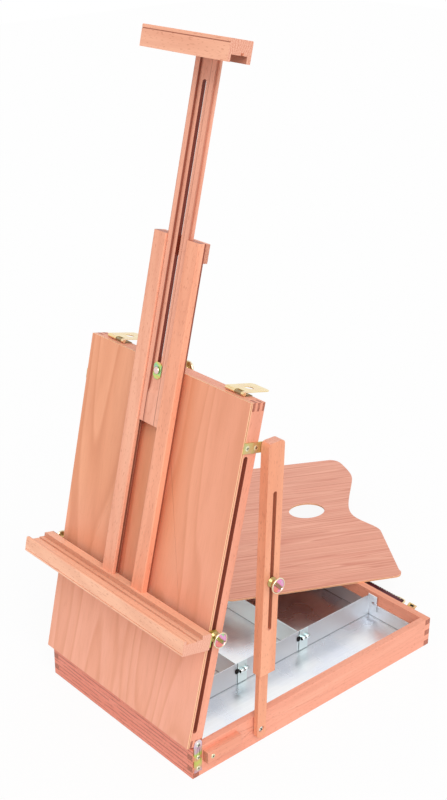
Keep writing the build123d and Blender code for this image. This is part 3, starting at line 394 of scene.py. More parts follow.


# ---- Metal tray and dividers
# Bright tinned sheet, folded and hemmed. It mirrors the room and the dividers with a soft
# blur, under cloudy patches and fine rolling lines. The handled dividers are duller. The hems
# carry a painted highlight, and the folds at the floor carry painted shade.
def tinplate(name, grain, foot, bright="#FDFEFF", dull="#E9EDF7", rough=(0.22, 0.36), hem=None,
             handled="#CDD1D3", shades=()):
    """foot is the height in mm of the fold at the floor, hem that of an upper edge with a painted
    highlight.
    """
    made, shader, where, normal = finish_of(name)
    drawn = streaks(along(where, grain), 160, 1.6, 2.0)
    cloud = add("ShaderNodeTexNoise", {"Vector": where, "Scale": 14.0, "Detail": 3.0})
    colour = between(cloud, 0.35, 0.65, dull, bright)
    colour = stained(colour, drawn, 0.12, "#A9B0B8", (0.4, 0.8))
    # upright sheet is duller from handling, with painted shade in the fold at its foot
    height = reach(where, UPRIGHT)
    upright = add("ShaderNodeMapRange", {0: cut_across(normal, UPRIGHT, 0.3, 0.5), 1: 1.0, 2: 0.0})
    colour = stained(colour, upright, 0.75, handled)
    fold = add("ShaderNodeMapRange", {0: height, 1: foot + 1.5, 2: foot + 0.9})
    fold = add("ShaderNodeMath", {0: fold, 1: upright}, operation="MULTIPLY")
    colour = stained(colour, fold, 0.6, "#4C5A5C")
    colour = shaded(where, normal, colour, shades, "#2C3537")
    metal = 1.0
    if hem:
        # painted highlight: the rolled edge is made white and not metallic, so it shows as a bright
        # line
        edge = add("ShaderNodeMapRange", {0: height, 1: hem - 1.5, 2: hem - 1.2})
        colour = add("ShaderNodeMixRGB", {0: edge, 1: colour, 2: srgb("#FFFFFF")})
        metal = add("ShaderNodeMapRange", {0: edge, 1: 1.0, 2: 0.0})
    polish = add("ShaderNodeMapRange", {0: cloud, 1: 0.3, 2: 0.7, 3: rough[0], 4: rough[1]})
    polish = add("ShaderNodeMath", {0: upright, 1: 0.18, 2: polish}, operation="MULTIPLY_ADD")
    relief = add("ShaderNodeBump", {"Height": drawn, "Strength": 0.04, "Distance": 0.0003})
    wire(shader, {"Base Color": colour, "Metallic": metal, "Roughness": polish, "Normal": relief})
    return made


FOLD_SEAM = 19.6            # mm from a cross divider's end to the seam of its fold
foot, hem = (corner[2] * 1000 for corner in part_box("long_divider"))
dress(["tray"], tinplate("tinned sheet, tray", INWARD, foot))
dress(["long_divider"], tinplate("tinned sheet, long divider", INWARD, foot, "#E9EAEF", "#D3D5DB",
                                 (0.2, 0.34), hem))
seams = [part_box(f"cross_divider_{place}")[1][1] * 1000 - FOLD_SEAM for place in ("front", "back")]
# painted shade: a dark line along the seam at the edge of each fold plate
cross_tin = tinplate("tinned sheet, cross dividers", ACROSS, foot, "#EEFAFB", "#DCEBED",
                     (0.2, 0.34), hem, "#DDECEC",
                     [(0.85, ACROSS, (INWARD, seam + 0.5, 0.7)) for seam in seams])
dress(["cross_divider_front", "cross_divider_back"], cross_tin)

# ---- Divider knuckles
# A hooked tab of each cross divider comes through a hole in the long divider. Beside it the
# folded end is rolled into two short knuckles, which stay open. Painted shade fills their
# insides and the hole.
KNUCKLE_R = 3.3
KNUCKLE_WALL = 0.6
KNUCKLE_Z = 26.6
KNUCKLE_L = 7.4
KNUCKLE_SEAM = 0.8
KNUCKLE_IN = 0.8            # the roll's outside in the sheet's face
KNUCKLE_OFF = 0.3           # from the hole's edge
HOLE_HALF = (3.3, 4.0)      # along Y and up, of the hole round the tab
HOLE_BEVEL = 1.3
HOLE_X = (-1.5, 0.12)       # from the sheet's face


def circle(shape, centre, one, other, radius, sides):
    """Corners round a centre, in metres, in the plane of two directions."""
    turns = [2 * math.pi * i / sides for i in range(sides)]
    return [shape.verts.new(centre + (one * math.cos(t) + other * math.sin(t)) * radius)
            for t in turns]


def skin(shape, loops, smooth=True):
    """Joins each loop of corners to the next, and gives the faces in order."""
    faces = []
    for first, second in zip(loops, loops[1:]):
        for i in range(len(first)):
            k = (i + 1) % len(first)
            faces.append(shape.faces.new((first[i], first[k], second[k], second[i])))
            faces[-1].smooth = smooth
    return faces


def rolled(shape, centre, axis, length, radius, wall, sides=20):
    """Adds an open tube from centre along axis, in metres. Its bore has material slot 1."""
    side = axis.orthogonal().normalized()
    loops = [circle(shape, centre + axis * far, side, axis.cross(side), r, sides)
             for far, r in ((0, radius - wall), (0, radius), (length, radius),
                            (length, radius - wall))]
    skin(shape, loops[:2], False)
    skin(shape, loops[1:3])
    skin(shape, loops[2:], False)
    for face in skin(shape, [loops[3], loops[0]]):
        face.material_index = 1


def shown(name, shape, materials, body):
    """A finished piece from a bmesh, facing outwards, that rides on a body."""
    bmesh.ops.recalc_face_normals(shape, faces=shape.faces)
    mesh = bpy.data.meshes.new(name)
    shape.to_mesh(mesh)
    shape.free()
    for material in materials:
        mesh.materials.append(material)
    made = bpy.data.objects.new(name, mesh)
    bpy.context.scene.collection.objects.link(made)
    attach(made, body)
    return made


# painted shade inside a roll, hole or hollow: nearly black, with matt grit
dark_bore, shader, where, _ = finish_of("painted shade in bores")
shade_grit = add("ShaderNodeTexNoise", {"Vector": where, "Scale": 400.0})
black = add("ShaderNodeMixRGB", {0: shade_grit, 1: srgb("#171718"), 2: srgb("#2C2A2A")})
wire(shader, {"Base Color": black, "Roughness": 0.8, "Specular IOR Level": 0.1})

half_y, half_z = HOLE_HALF
near_y, near_z = half_y - HOLE_BEVEL, half_z - HOLE_BEVEL
hole_outline = ((half_y, -near_z), (half_y, near_z), (near_y, half_z), (-near_y, half_z),
                (-half_y, near_z), (-half_y, -near_z), (-near_y, -half_z), (near_y, -half_z))
for place in ("front", "back"):
    low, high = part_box(f"cross_divider_{place}")
    seam = Vector((high[0], high[1] - FOLD_SEAM / 1000, KNUCKLE_Z / 1000))
    shape = bmesh.new()
    start = seam + Vector((KNUCKLE_R - KNUCKLE_IN, half_y + KNUCKLE_OFF, 0)) / 1000
    for _ in range(2):
        rolled(shape, start, INWARD, KNUCKLE_L / 1000, KNUCKLE_R / 1000, KNUCKLE_WALL / 1000)
        start = start + INWARD * ((KNUCKLE_L + KNUCKLE_SEAM) / 1000)
    # the hole round the tab is closed by a dark plug of painted shade
    rims = [[shape.verts.new(seam + Vector((x, y, z)) / 1000) for y, z in hole_outline]
            for x in HOLE_X]
    for face in (shape.faces.new(rims[0]), shape.faces.new(rims[1]), *skin(shape, rims, False)):
        face.material_index = 1
    shown(f"divider_knuckles_{place}", shape, (cross_tin, dark_bore), "base")

# ---- Strut stop blocks
# Short beech blocks with bevelled edges, planed and oiled like the walls. Each is held by
# one screw beside the hinge plate.
dress(["strut_stop_right", "strut_stop_left"],
      beech("oiled beech block", INWARD, "#F3A588", "#E59679", 9.0, ("#B9705A", "#D38D74")), 0.8)


# ---- Hinge plates and brackets
# Pressed steel strip, zinc plated and yellow passivated: a golden skin that shifts to
# green, pink and violet where the film is thicker.
FILM = ((0.30, "#E08CB0"), (0.42, "#E9B36B"), (0.52, "#D9E070"), (0.62, "#9FD08A"),
        (0.74, "#D9A6CF"))


def film_hues(thick, film):
    """The film's colour by its thickness. A film is (thickness, colour) from thin to thick."""
    hues = add("ShaderNodeValToRGB", {"Fac": thick})
    stops = hues.node.color_ramp.elements
    stops[0].position, stops[0].color = film[0][0], srgb(film[0][1])
    stops[1].position, stops[1].color = film[-1][0], srgb(film[-1][1])
    for position, code in film[1:-1]:
        stops.new(position).color = srgb(code)
    return hues


def grit(where, strength):
    """The plating's fine grit, as relief."""
    grain = add("ShaderNodeTexNoise", {"Vector": where, "Scale": 900.0})
    return add("ShaderNodeBump", {"Height": grain, "Strength": strength, "Distance": 0.0002})


def yellow_zinc(name, gold="#D8C27A", shift=0.5, rough=0.32, seed=0.0, film=FILM, climb=None):
    """Passivated steel. climb is (direction, low mm, high mm) if the film follows it."""
    made, shader, where, _ = finish_of(name)
    place = add("ShaderNodeMapping", {"Vector": where, "Location": (seed, seed, seed)})
    thick = add("ShaderNodeTexNoise", {"Vector": place, "Scale": 70.0, "Detail": 1.0})
    if climb:
        direction, low_mm, high_mm = climb
        height = add("ShaderNodeMapRange", {0: reach(where, direction), 1: low_mm, 2: high_mm})
        blotch = add("ShaderNodeMath", {0: thick, 1: 0.5}, operation="SUBTRACT")
        thick = add("ShaderNodeMath", {0: blotch, 1: 0.35, 2: height}, operation="MULTIPLY_ADD")
    colour = add("ShaderNodeMixRGB", {0: shift, 1: srgb(gold), 2: film_hues(thick, film)})
    wire(shader, {"Base Color": colour, "Metallic": 0.85, "Roughness": rough,
                        "Normal": grit(where, 0.06)})
    return made


STRIP_FILM = ((0.0, "#C9A3B8"), (0.16, "#E6A98A"), (0.34, "#C9D45A"), (0.46, "#E6A07E"),
              (0.60, "#B7DC54"), (0.72, "#D3B0C8"), (0.86, "#DCCCE4"), (1.0, "#E8DCE0"))
dress(["hinge_plate_right", "hinge_plate_left"],
      yellow_zinc("yellow zinc strip", "#D8C8A8", 0.88, 0.34, film=STRIP_FILM,
                  climb=(UPRIGHT, 8.0, 62.0)), 0.25)
dress(["ledge_bracket_right", "ledge_bracket_left"],
      yellow_zinc("yellow zinc angle", "#BFC24E", 0.5, 0.34, 3.0), 0.25)
dress(["bracket_plate_right", "bracket_plate_left"],
      yellow_zinc("yellow zinc bracket", "#D3C48E", 0.25, 0.34, 4.0), 0.25)

# ---- Catches and latches
# Thin pressed steel, brass plated. The flap's knuckles and the leaf's barrel turn on a pin,
# and the plates are screwed to the far wall and to the lid's top wall.
CREAM_FILM = ((0.3, "#F9EAC6"), (0.5, "#F6DFAC"), (0.7, "#F4D5BC"))
brass_plated = yellow_zinc("brass plated sheet", "#F0D898", 0.6, 0.26, film=CREAM_FILM)
dress(["catch_right", "catch_left", "latch_flap_right", "latch_flap_left", "handle_staples"],
      brass_plated, 0.2)
# the leaves are painted dark: shade in the notch between the flap's knuckles
dress(["latch_leaf_right", "latch_leaf_left"],
      yellow_zinc("brass plated sheet, painted shade in the notch", "#6F5A30", 0.3, 0.5, film=CREAM_FILM), 0.1)

# The hook of each catch goes on as a bent tongue above the wall's edge, with a pressed
# hollow in which the latch's flap rests.
TONGUE_LINE = ((240.3, 43.0), (240.8, 45.6), (242.2, 47.4), (244.9, 49.0), (246.6, 49.7))
TONGUE_T = 0.7
TONGUE_HALF = 7.6
HOLLOW_HALF = 3.4
for side in ("right", "left"):
    low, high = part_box(f"catch_{side}")
    middle = (low[0] + high[0]) * 500
    shape = bmesh.new()
    rows = [[shape.verts.new(Vector((middle + x, y, z)) / 1000)
             for x in (-TONGUE_HALF, -HOLLOW_HALF, HOLLOW_HALF, TONGUE_HALF)]
            for y, z in TONGUE_LINE]
    for j, (first, second) in enumerate(zip(rows, rows[1:])):
        for i in range(3):
            face = shape.faces.new((first[i], first[i + 1], second[i + 1], second[i]))
            # the middle of the hollow takes the painted shade
            face.material_index = 1 if (i, j) == (1, 2) else 0
    bmesh.ops.solidify(shape, geom=shape.faces[:], thickness=TONGUE_T / 1000)
    shown(f"catch_tongue_{side}", shape, (brass_plated, dark_bore), "base")


# ---- Screws
# Zinc plated steel wood screws with domed heads and cross recesses, driven by hand, so
# that their crosses lie at all angles.
def plated_steel(name, tone="#DAD9CE", rough=0.3, light="#F2F1E6"):
    """Bright plated steel, slightly spotted, with dirt and shadow in a cross recess."""
    made, shader, where, _ = finish_of(name)
    spots = add("ShaderNodeTexNoise", {"Vector": where, "Scale": 600.0, "Detail": 2.0})
    colour = between(spots, 0.3, 0.7, tone, light)
    recess = add("ShaderNodeAttribute", None, "Fac", made.node_tree, attribute_name="recess")
    colour = add("ShaderNodeMixRGB", {0: recess, 1: colour, 2: srgb("#2E2A24")})
    wire(shader, {"Base Color": colour, "Metallic": 0.95, "Roughness": rough})
    return made


zinc_steel = plated_steel("zinc plated steel")
gilt_steel = plated_steel("yellow zinc screw", "#DAD3A6", 0.3, "#F4F0D4")


def new_tree(name, inputs, result):
    """A geometry tree with named inputs of given kinds and one mesh as its result."""
    tree = bpy.data.node_groups.new(name, "GeometryNodeTree")
    for label, kind in inputs:
        tree.interface.new_socket(label, in_out="INPUT", socket_type=f"NodeSocket{kind}")
    tree.interface.new_socket(result, in_out="OUTPUT", socket_type="NodeSocketGeometry")
    return tree, add("NodeGroupInput", tree=tree).node.outputs


def set_out(points, shape, turn, material):
    """Ends a tree: the shape at every point, as real mesh with its material."""
    laid = add("GeometryNodeInstanceOnPoints", {"Points": points, "Instance": shape,
                                                      "Rotation": turn})
    real = add("GeometryNodeRealizeInstances", {0: laid})
    plated = add("GeometryNodeSetMaterial", {"Geometry": real, "Material": material})
    add("NodeGroupOutput", {0: plated})


SCREW_SIZES = ("Head radius", "Head height", "Shank radius", "Shank length", "Recess width")
screw_tree, given = new_tree("cross-head screws", (
    ("Seats", "Geometry"), *((label, "Float") for label in SCREW_SIZES), ("Seed", "Int"),
    ("Metal", "Material")), "Screws")
radius, height = given["Head radius"], given["Head height"]
ball = add("GeometryNodeMeshUVSphere", {"Segments": 20, "Rings": 14, "Radius": 1.0},
           tree=screw_tree)
head_size = add("ShaderNodeCombineXYZ", {0: radius, 1: radius, 2: height})
ball = add("GeometryNodeTransform", {"Geometry": ball, "Scale": head_size})
# the ball's upper half, cut off by a block that stands on the seat
wide = add("ShaderNodeMath", {0: radius, 1: 3.0}, operation="MULTIPLY")
tall = add("ShaderNodeMath", {0: height, 1: 2.0}, operation="MULTIPLY")
block_size = add("ShaderNodeCombineXYZ", {0: wide, 1: wide, 2: tall})
up = add("ShaderNodeCombineXYZ", {2: height})
block = add("GeometryNodeMeshCube", {"Size": block_size})
block = add("GeometryNodeTransform", {"Geometry": block, "Translation": up})
dome = add("GeometryNodeMeshBoolean", {1: ball}, operation="INTERSECT")
wire(dome.node, {1: block})
# the cross recess, marked for its painted shade and dirt
arm = add("ShaderNodeMath", {0: radius, 1: 1.15}, operation="MULTIPLY")
slit = given["Recess width"]
cut = add("GeometryNodeMeshBoolean", {0: dome}, operation="DIFFERENCE")
for x, y in ((arm, slit), (slit, arm)):
    bar_size = add("ShaderNodeCombineXYZ", {0: x, 1: y, 2: height})
    bar = add("GeometryNodeMeshCube", {"Size": bar_size})
    bar = add("GeometryNodeTransform", {"Geometry": bar, "Translation": up})
    bar = add("GeometryNodeStoreNamedAttribute", {
        "Geometry": bar, "Name": "recess", "Value": 1.0}, data_type="FLOAT", domain="FACE")
    wire(cut.node, {1: bar})
stem = add("GeometryNodeMeshCylinder", {
    "Vertices": 14, "Radius": given["Shank radius"], "Depth": given["Shank length"]})
down = add("ShaderNodeMath", {0: given["Shank length"], 1: -0.5}, operation="MULTIPLY")
down = add("ShaderNodeCombineXYZ", {2: down})
stem = add("GeometryNodeTransform", {"Geometry": stem, "Translation": down})
joined = add("GeometryNodeJoinGeometry", {0: cut})
wire(joined.node, {0: stem})
outward = add("GeometryNodeInputNamedAttribute", {"Name": "outward"}, "Attribute", screw_tree,
              data_type="FLOAT_VECTOR")
upright = add("FunctionNodeAlignRotationToVector", {"Vector": outward}, axis="Z")
spin = add("FunctionNodeRandomValue", {"Seed": given["Seed"], 3: math.pi / 2}, 1,
           data_type="FLOAT")
driven = add("FunctionNodeAxisAngleToRotation", {"Axis": (0, 0, 1), "Angle": spin})
turned_in = add("FunctionNodeRotateRotation",
                {"Rotation": upright, "Rotate By": driven}, rotation_space="LOCAL")
set_out(given["Seats"], joined, turned_in, given["Metal"])


def grown(made, tree, values, body):
    """Runs a node tree on a piece, keeps its result as plain mesh, and lets it ride."""
    bpy.context.scene.collection.objects.link(made)
    grow = made.modifiers.new("grow", "NODES")
    grow.node_group = tree
    for socket in tree.interface.items_tree:
        if socket.in_out == "INPUT" and socket.name in values:
            grow[socket.identifier] = values[socket.name]
    ready = made.evaluated_get(bpy.context.evaluated_depsgraph_get())
    result = bpy.data.meshes.new_from_object(ready)
    made.modifiers.clear()
    made.data = result
    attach(made, body)
    return made


def screws(name, body, seats, metal, head, dome, shank_r, shank_l, recess, seed):
    """One mesh of screws, sizes in mm. seats are places in metres with outward directions."""
    mesh = bpy.data.meshes.new(name)
    mesh.from_pydata([tuple(place) for place, _ in seats], [], [])
    outward = mesh.attributes.new("outward", "FLOAT_VECTOR", "POINT")
    for i, (_, direction) in enumerate(seats):
        outward.data[i].vector = direction
    sizes = (head, dome, shank_r, shank_l, recess)
    values = {label: size / 1000 for label, size in zip(SCREW_SIZES, sizes)}
    values.update({"Seed": seed, "Metal": metal})
    return grown(bpy.data.objects.new(name, mesh), screw_tree, values, body)


def lumps(node):
    """Lowest and highest corner of each separate lump of a CAD node, in a fixed order."""
    shape = bmesh.new()
    shape.from_mesh(pieces[node].data)
    bmesh.ops.remove_doubles(shape, verts=shape.verts, dist=0.00001)
    waiting = set(shape.verts)
    found = []
    while waiting:
        front = [waiting.pop()]
        lump = list(front)
        while front:
            for edge in front.pop().link_edges:
                for vert in edge.verts:
                    if vert in waiting:
                        waiting.remove(vert)
                        front.append(vert)
                        lump.append(vert)
        found.append((Vector([min(v.co[i] for v in lump) for i in range(3)]),
                      Vector([max(v.co[i] for v in lump) for i in range(3)])))
    shape.free()
    return sorted(found, key=lambda corners: tuple(round(c, 5) for c in corners[0]))


def side_seats(node, head_height):
    """Seats of the screws of a CAD node that point out of the right and left sides."""
    seats = []
    for low, high in lumps(node):
        middle = (low + high) / 2
        side = 1 if middle.x > 0 else -1
        outer = high.x if side > 0 else -low.x
        seats.append((Vector((side * (outer - head_height / 1000), middle.y, middle.z)),
                      Vector((side, 0, 0))))
    return seats


# each with the node it stands for, how far its seat lies in, and its sizes and seed
for name, body, node, lies_in, metal, sizes in (
        ("hinge_plate_screws", "base", "base_screws", 1.2, gilt_steel,
         (3.5, 1.2, 1.5, 8.0, 0.9, 4)),
        ("bracket_screws", "lid", "lid_screws", 0.35, gilt_steel,
         (3.7, 0.33, 1.5, 8.0, 0.8, 7)),
        ("strut_foot_screws", "base", "strut_pivot_screws", 2.2, zinc_steel,
         (4.5, 2.0, 2.5, 14.0, 1.3, 2)),
        ("lid_pivot_screws", "lid", "hinge_pivot_screws", 1.2, zinc_steel,
         (4.0, 1.4, 2.5, 11.0, 1.2, 3))):
    made = screws(name, body, side_seats(node, lies_in), metal, *sizes)
    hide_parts(node)

# The catches' and staples' plates take two screws each on the far wall, and each latch's
# leaf takes two on the lid's top wall.
SMALL_SCREW = (2.1, 0.8, 1.0, 7.0, 0.55)
PLATE_T = 1.2
CATCH_SCREW_IN = 3.0        # from the plate's side
CATCH_SCREW_DOWN = 10.5     # from its top
STAPLE_SCREW_IN = 2.8
seats = []
for side in ("right", "left"):
    low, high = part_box(f"catch_{side}")
    for x in (low[0] + CATCH_SCREW_IN / 1000, high[0] - CATCH_SCREW_IN / 1000):
        seats.append((Vector((x, low[1] + PLATE_T / 1000, high[2] - CATCH_SCREW_DOWN / 1000)),
                      INWARD))
for low, high in lumps("handle_staples"):
    for x in (low[0] + STAPLE_SCREW_IN / 1000, high[0] - STAPLE_SCREW_IN / 1000):
        seats.append((Vector((x, low[1] + PLATE_T / 1000, (low[2] + high[2]) / 2)), INWARD))
screws("far_wall_screws", "base", seats, gilt_steel, *SMALL_SCREW, 11)

LID_TILT = math.radians(77.4)
UP_LID = Vector((0, math.cos(LID_TILT), math.sin(LID_TILT)))
OUT_OF_LID = Vector((0, -math.sin(LID_TILT), math.cos(LID_TILT)))
HINGE_UP_LID = 4.0          # the hinge from the lid's corner
HINGE_OUT = 7.5
joint_places = {j["name"]: Vector(j["pos_m"]) for j in frame["joints"]
                if j["name"] in ("lid_hinge", "handle_hinge")}
LID_CORNER = (joint_places["lid_hinge"] - UP_LID * (HINGE_UP_LID / 1000)
              - OUT_OF_LID * (HINGE_OUT / 1000))
LEAF_TOP = 477.2
LEAF_SCREW_X = 10.5
LEAF_SCREW_OUT = 5.2


def on_lid(x, s, n):
    """A place in metres from mm across the lid, along it from its hinge end, and out of it."""
    return LID_CORNER + (ACROSS * x + UP_LID * s + OUT_OF_LID * n) / 1000


seats = []
for side in ("right", "left"):
    low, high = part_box(f"latch_leaf_{side}")
    middle = (low[0] + high[0]) * 500
    for x in (middle - LEAF_SCREW_X, middle + LEAF_SCREW_X):
        seats.append((on_lid(x, LEAF_TOP, LEAF_SCREW_OUT), UP_LID))
screws("latch_leaf_screws", "lid", seats, gilt_steel, *SMALL_SCREW, 13)


# ---- Bolts and washers
# The clamp bolts are plain zinc plated steel. The mast's bolt has a smooth domed head on a
# passivated washer, and the struts hang on plated pins.
def turned(profile, seat, roll, axis, sides=48):
    """A turned shape. profile is (radius, height) in mm from seat along axis."""
    other = axis.cross(roll)
    shape = bmesh.new()
    sheet = shape.loops.layers.uv.new("turned")
    lengths = [0.0]
    for a, b in zip(profile, profile[1:]):
        lengths.append(lengths[-1] + math.dist(a, b))
    rings = []
    for r, h in profile:
        centre = seat + axis * (h / 1000)
        if r == 0:
            rings.append([shape.verts.new(centre)] * sides)
        else:
            rings.append(circle(shape, centre, roll, other, r / 1000, sides))
    for j in range(len(profile) - 1):
        for i in range(sides):
            k = (i + 1) % sides
            loop = [(rings[j][i], i, j), (rings[j][k], i + 1, j),
                    (rings[j + 1][k], i + 1, j + 1), (rings[j + 1][i], i, j + 1)]
            if profile[j][0] == 0:
                del loop[1]
            if profile[j + 1][0] == 0:
                del loop[2 if profile[j][0] else 1]
            face = shape.faces.new([corner[0] for corner in loop])
            face.smooth = True
            for corner, (_, turn, along_it) in zip(face.loops, loop):
                corner[sheet].uv = (turn / sides, lengths[along_it] / lengths[-1])
    return shape


dress(["strut_washers", "hinge_pivot_screws", "ledge_bolts", "strut_bolt_right",
       "strut_bolt_left", "strut_pivot_screws", "base_screws", "lid_screws", "mast_bolt"],
      zinc_steel)
WASHER_FILM = ((0.30, "#D98CC8"), (0.42, "#E8C07A"), (0.50, "#C8E070"), (0.60, "#8FE0A0"),
               (0.72, "#B79AE0"))
dress(["mast_washer"], yellow_zinc("yellow zinc washer", "#CFC8A0", 0.85, 0.3, 2.0,
                                   film=WASHER_FILM), 0.2)
CLAMP_S = 470.5
BOLT_FRONT = 40.9           # out of the lid, where the head starts
BOLT_PROFILE = ((0, -51.0), (2.7, -51.0), (3.0, -50.5), (3.0, 0.0), (4.7, 0.0), (5.0, 0.4),
                (4.8, 1.0), (4.1, 1.6), (3.0, 2.0), (1.5, 2.2), (0, 2.2))
shape = turned(BOLT_PROFILE, on_lid(0, CLAMP_S, BOLT_FRONT), ACROSS, OUT_OF_LID)
# the bolt's pink tint is painted reflection of the beech round it
polished = plated_steel("polished bolt", "#E3B9B0", 0.16, "#F4E4DC")
made = shown("mast_bolt_dome", shape, (polished,), "lid")
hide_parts("mast_bolt")

# ---- Handle rings
# Rectangular rings of brass plated wire with rounded corners, butt jointed in the staples.
# They turn there, and carry the strap between them.
WIRE_R = 1.5
WIRE_BEND = 3.2
WIRE_SIDES = 14
BEND_STEPS = 6
HANDLE_TILT = math.radians(15)
HANDLE_OUT = Vector((0, math.cos(HANDLE_TILT), math.sin(HANDLE_TILT)))
HANDLE_UP = Vector((0, -math.sin(HANDLE_TILT), math.cos(HANDLE_TILT)))
HANDLE_PIVOT = joint_places["handle_hinge"]
RING_DEPTH = 19.0
gilt_wire = yellow_zinc("brass plated wire", "#F4E0AE", 0.5, 0.24, 5.0, CREAM_FILM)

shape = bmesh.new()
for low, high in lumps("handle_rings"):
    middle = HANDLE_PIVOT + ACROSS * ((low.x + high.x) / 2)
    half = (high.x - low.x) / 2 - WIRE_R / 1000
    depth, bend = RING_DEPTH / 1000, WIRE_BEND / 1000
    loops = []
    for x, y, start in ((half - bend, bend, -90), (half - bend, depth - bend, 0),
                        (bend - half, depth - bend, 90), (bend - half, bend, 180)):
        for i in range(BEND_STEPS + 1):
            turn = math.radians(start + 90 / BEND_STEPS * i)
            aside = ACROSS * math.cos(turn) + HANDLE_OUT * math.sin(turn)
            centre = middle + ACROSS * x + HANDLE_OUT * y + aside * bend
            loops.append(circle(shape, centre, aside, HANDLE_UP, WIRE_R / 1000, WIRE_SIDES))
    skin(shape, loops + loops[:1])
made = shown("handle_ring_wires", shape, (gilt_wire,), "handle")
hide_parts("handle_rings")
dress(["handle_rings"], gilt_wire)

# ---- Handle strap
# Maroon leather folded round a filler and stitched along both edges. Its ends are wrapped
# round the rings.
RING_REACH = 3.2            # from the outer side of the CAD ring in to the strap's end
STRAP_W = 17.0
STRAP_T = 8.4               # in the middle
STRAP_END_T = 6.4
STRAP_OFF = 0.7             # the strap's middle beyond the rings' middle
GROOVE_DEEP = 0.5           # pressed in along each seam
GROOVE_SOFT = 0.55
SEAM_IN = 2.0               # stitches from the strap's edge
strap_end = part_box("handle_rings")[1][0] * 1000 - RING_REACH
strap_mid = RING_DEPTH / 2 + STRAP_OFF


def leather(name):
    """Grained maroon leather, worn in patches, with dyed black edges."""
    made, shader, where, normal = finish_of(name)
    grain = add("ShaderNodeTexVoronoi", {"Vector": where, "Scale": 900.0}, "Distance")
    wear = add("ShaderNodeTexNoise", {"Vector": where, "Scale": 60.0, "Detail": 3.0})
    colour = between(wear, 0.35, 0.7, "#43151D", "#602833")
    colour = stained(colour, grain, 0.25, "#2A0C12", (0.5, 0.8))
    centre = HANDLE_PIVOT.dot(HANDLE_OUT) * 1000 + strap_mid
    edges = [(0.9, None, (HANDLE_OUT, centre + side * (STRAP_W / 2 - 1.0), 2.2))
             for side in (1, -1)]
    colour = shaded(where, normal, colour, edges, "#24090F")
    relief = add("ShaderNodeBump", {"Height": grain, "Strength": 0.25, "Distance": 0.0004})
    wire(shader, {"Base Color": colour, "Normal": relief, "Roughness": 0.5,
                        "Specular IOR Level": 0.35})
    return made


def strap_half(x):
    """Half the strap's thickness at x mm: swollen in the middle, round at the ends."""
    swell = STRAP_END_T + (STRAP_T - STRAP_END_T) * (1 - (x / strap_end) ** 2)
    nose = STRAP_END_T / 2
    left = strap_end - abs(x)
    return swell / 2 * math.sqrt(max(0.0, 1 - (1 - min(left, nose) / nose) ** 2))


def on_strap(x, across, up):
    """A place in metres from mm along the strap, across it from its middle, and up."""
    return HANDLE_PIVOT + (ACROSS * x + HANDLE_OUT * (strap_mid + across) + HANDLE_UP * up) / 1000


def strap_height(x, across):
    """Height of the upper face: crowned, with a pressed groove along each seam."""
    edge = abs(across) / (STRAP_W / 2)
    crown = (1 - edge ** 4) ** 0.4 if edge < 1 else 0.0
    seam = math.exp(-((STRAP_W / 2 - SEAM_IN - abs(across)) / GROOVE_SOFT) ** 2)
    return max(0.0, strap_half(x) * crown - GROOVE_DEEP * seam * min(1, strap_half(x) / 2))


shape = bmesh.new()
ALONG_STEPS = 96
HALF_STEPS = 12             # from the strap's middle to its edge
stations = [-strap_end * math.cos(math.pi * i / ALONG_STEPS) for i in range(ALONG_STEPS + 1)]
widths = [STRAP_W / 2 * math.sin(math.pi / 2 * (i / HALF_STEPS - 1))
          for i in range(2 * HALF_STEPS + 1)]
loops = []
for x in stations:
    upper = [on_strap(x, v, strap_height(x, v)) for v in widths]
    lower = [on_strap(x, v, -strap_height(x, v)) for v in reversed(widths[1:-1])]
    loops.append([shape.verts.new(p) for p in upper + lower])
skin(shape, loops)
bmesh.ops.remove_doubles(shape, verts=shape.verts, dist=0.000005)
made = shown("handle_grip", shape, (leather("maroon leather"),), "handle")
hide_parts("handle_strap")
dress(["handle_strap"], leather("maroon leather, core"))

# The seams: waxed linen thread in a lockstitch.
STITCH_SIZES = ("Stitch spacing", "Stitch length", "Thread radius")
STITCH_MM = (4.8, 3.2, 0.55)
SEAM_STOP = 6.0             # from the strap's end
STITCH_PROUD = 0.1          # over the groove
seam_tree, given = new_tree("stitches", (
    ("Seam", "Geometry"), *((label, "Float") for label in STITCH_SIZES),
    ("Thread", "Material")), "Stitches")
line = add("GeometryNodeMeshToCurve", {"Mesh": given["Seam"]})
even = add("GeometryNodeCurveToPoints",
           {"Curve": line, "Length": given["Stitch spacing"]}, mode="LENGTH")
thread_r = given["Thread radius"]
half_long = add("ShaderNodeMath", {0: given["Stitch length"], 1: 0.5}, operation="MULTIPLY")
bead_size = add("ShaderNodeCombineXYZ", {0: half_long, 1: thread_r, 2: thread_r})
bead = add("GeometryNodeMeshUVSphere", {"Segments": 8, "Rings": 6, "Radius": 1.0}, tree=seam_tree)
bead = add("GeometryNodeTransform", {"Geometry": bead, "Scale": bead_size})
turn = add("FunctionNodeAlignRotationToVector", {"Vector": even.node.outputs["Tangent"]}, axis="X")
set_out(even, bead, turn, given["Thread"])

# twisted thread: pale, with darker turns
linen, shader, where, _ = finish_of("waxed linen thread")
twist = add("ShaderNodeTexWave", {"Vector": where, "Scale": 900.0}, "Fac")
pale = add("ShaderNodeMixRGB", {0: twist, 1: srgb("#E3D6CA"), 2: srgb("#F6EEE4")})
wire(shader, {"Base Color": pale, "Roughness": 0.6})

points, edges = [], []
for face in (1, -1):
    for edge in (1, -1):
        v = edge * (STRAP_W / 2 - SEAM_IN)
        run = [x for x in stations if abs(x) < strap_end - SEAM_STOP]
        for i, x in enumerate(run):
            if i:
                edges.append((len(points) - 1, len(points)))
            points.append(on_strap(x, v, face * (strap_height(x, v) + STITCH_PROUD)))
mesh = bpy.data.meshes.new("strap_stitches")
mesh.from_pydata([tuple(p) for p in points], edges, [])
grown(bpy.data.objects.new("strap_stitches", mesh), seam_tree,
      {"Thread": linen, **{label: mm / 1000 for label, mm in zip(STITCH_SIZES, STITCH_MM)}},
      "handle")
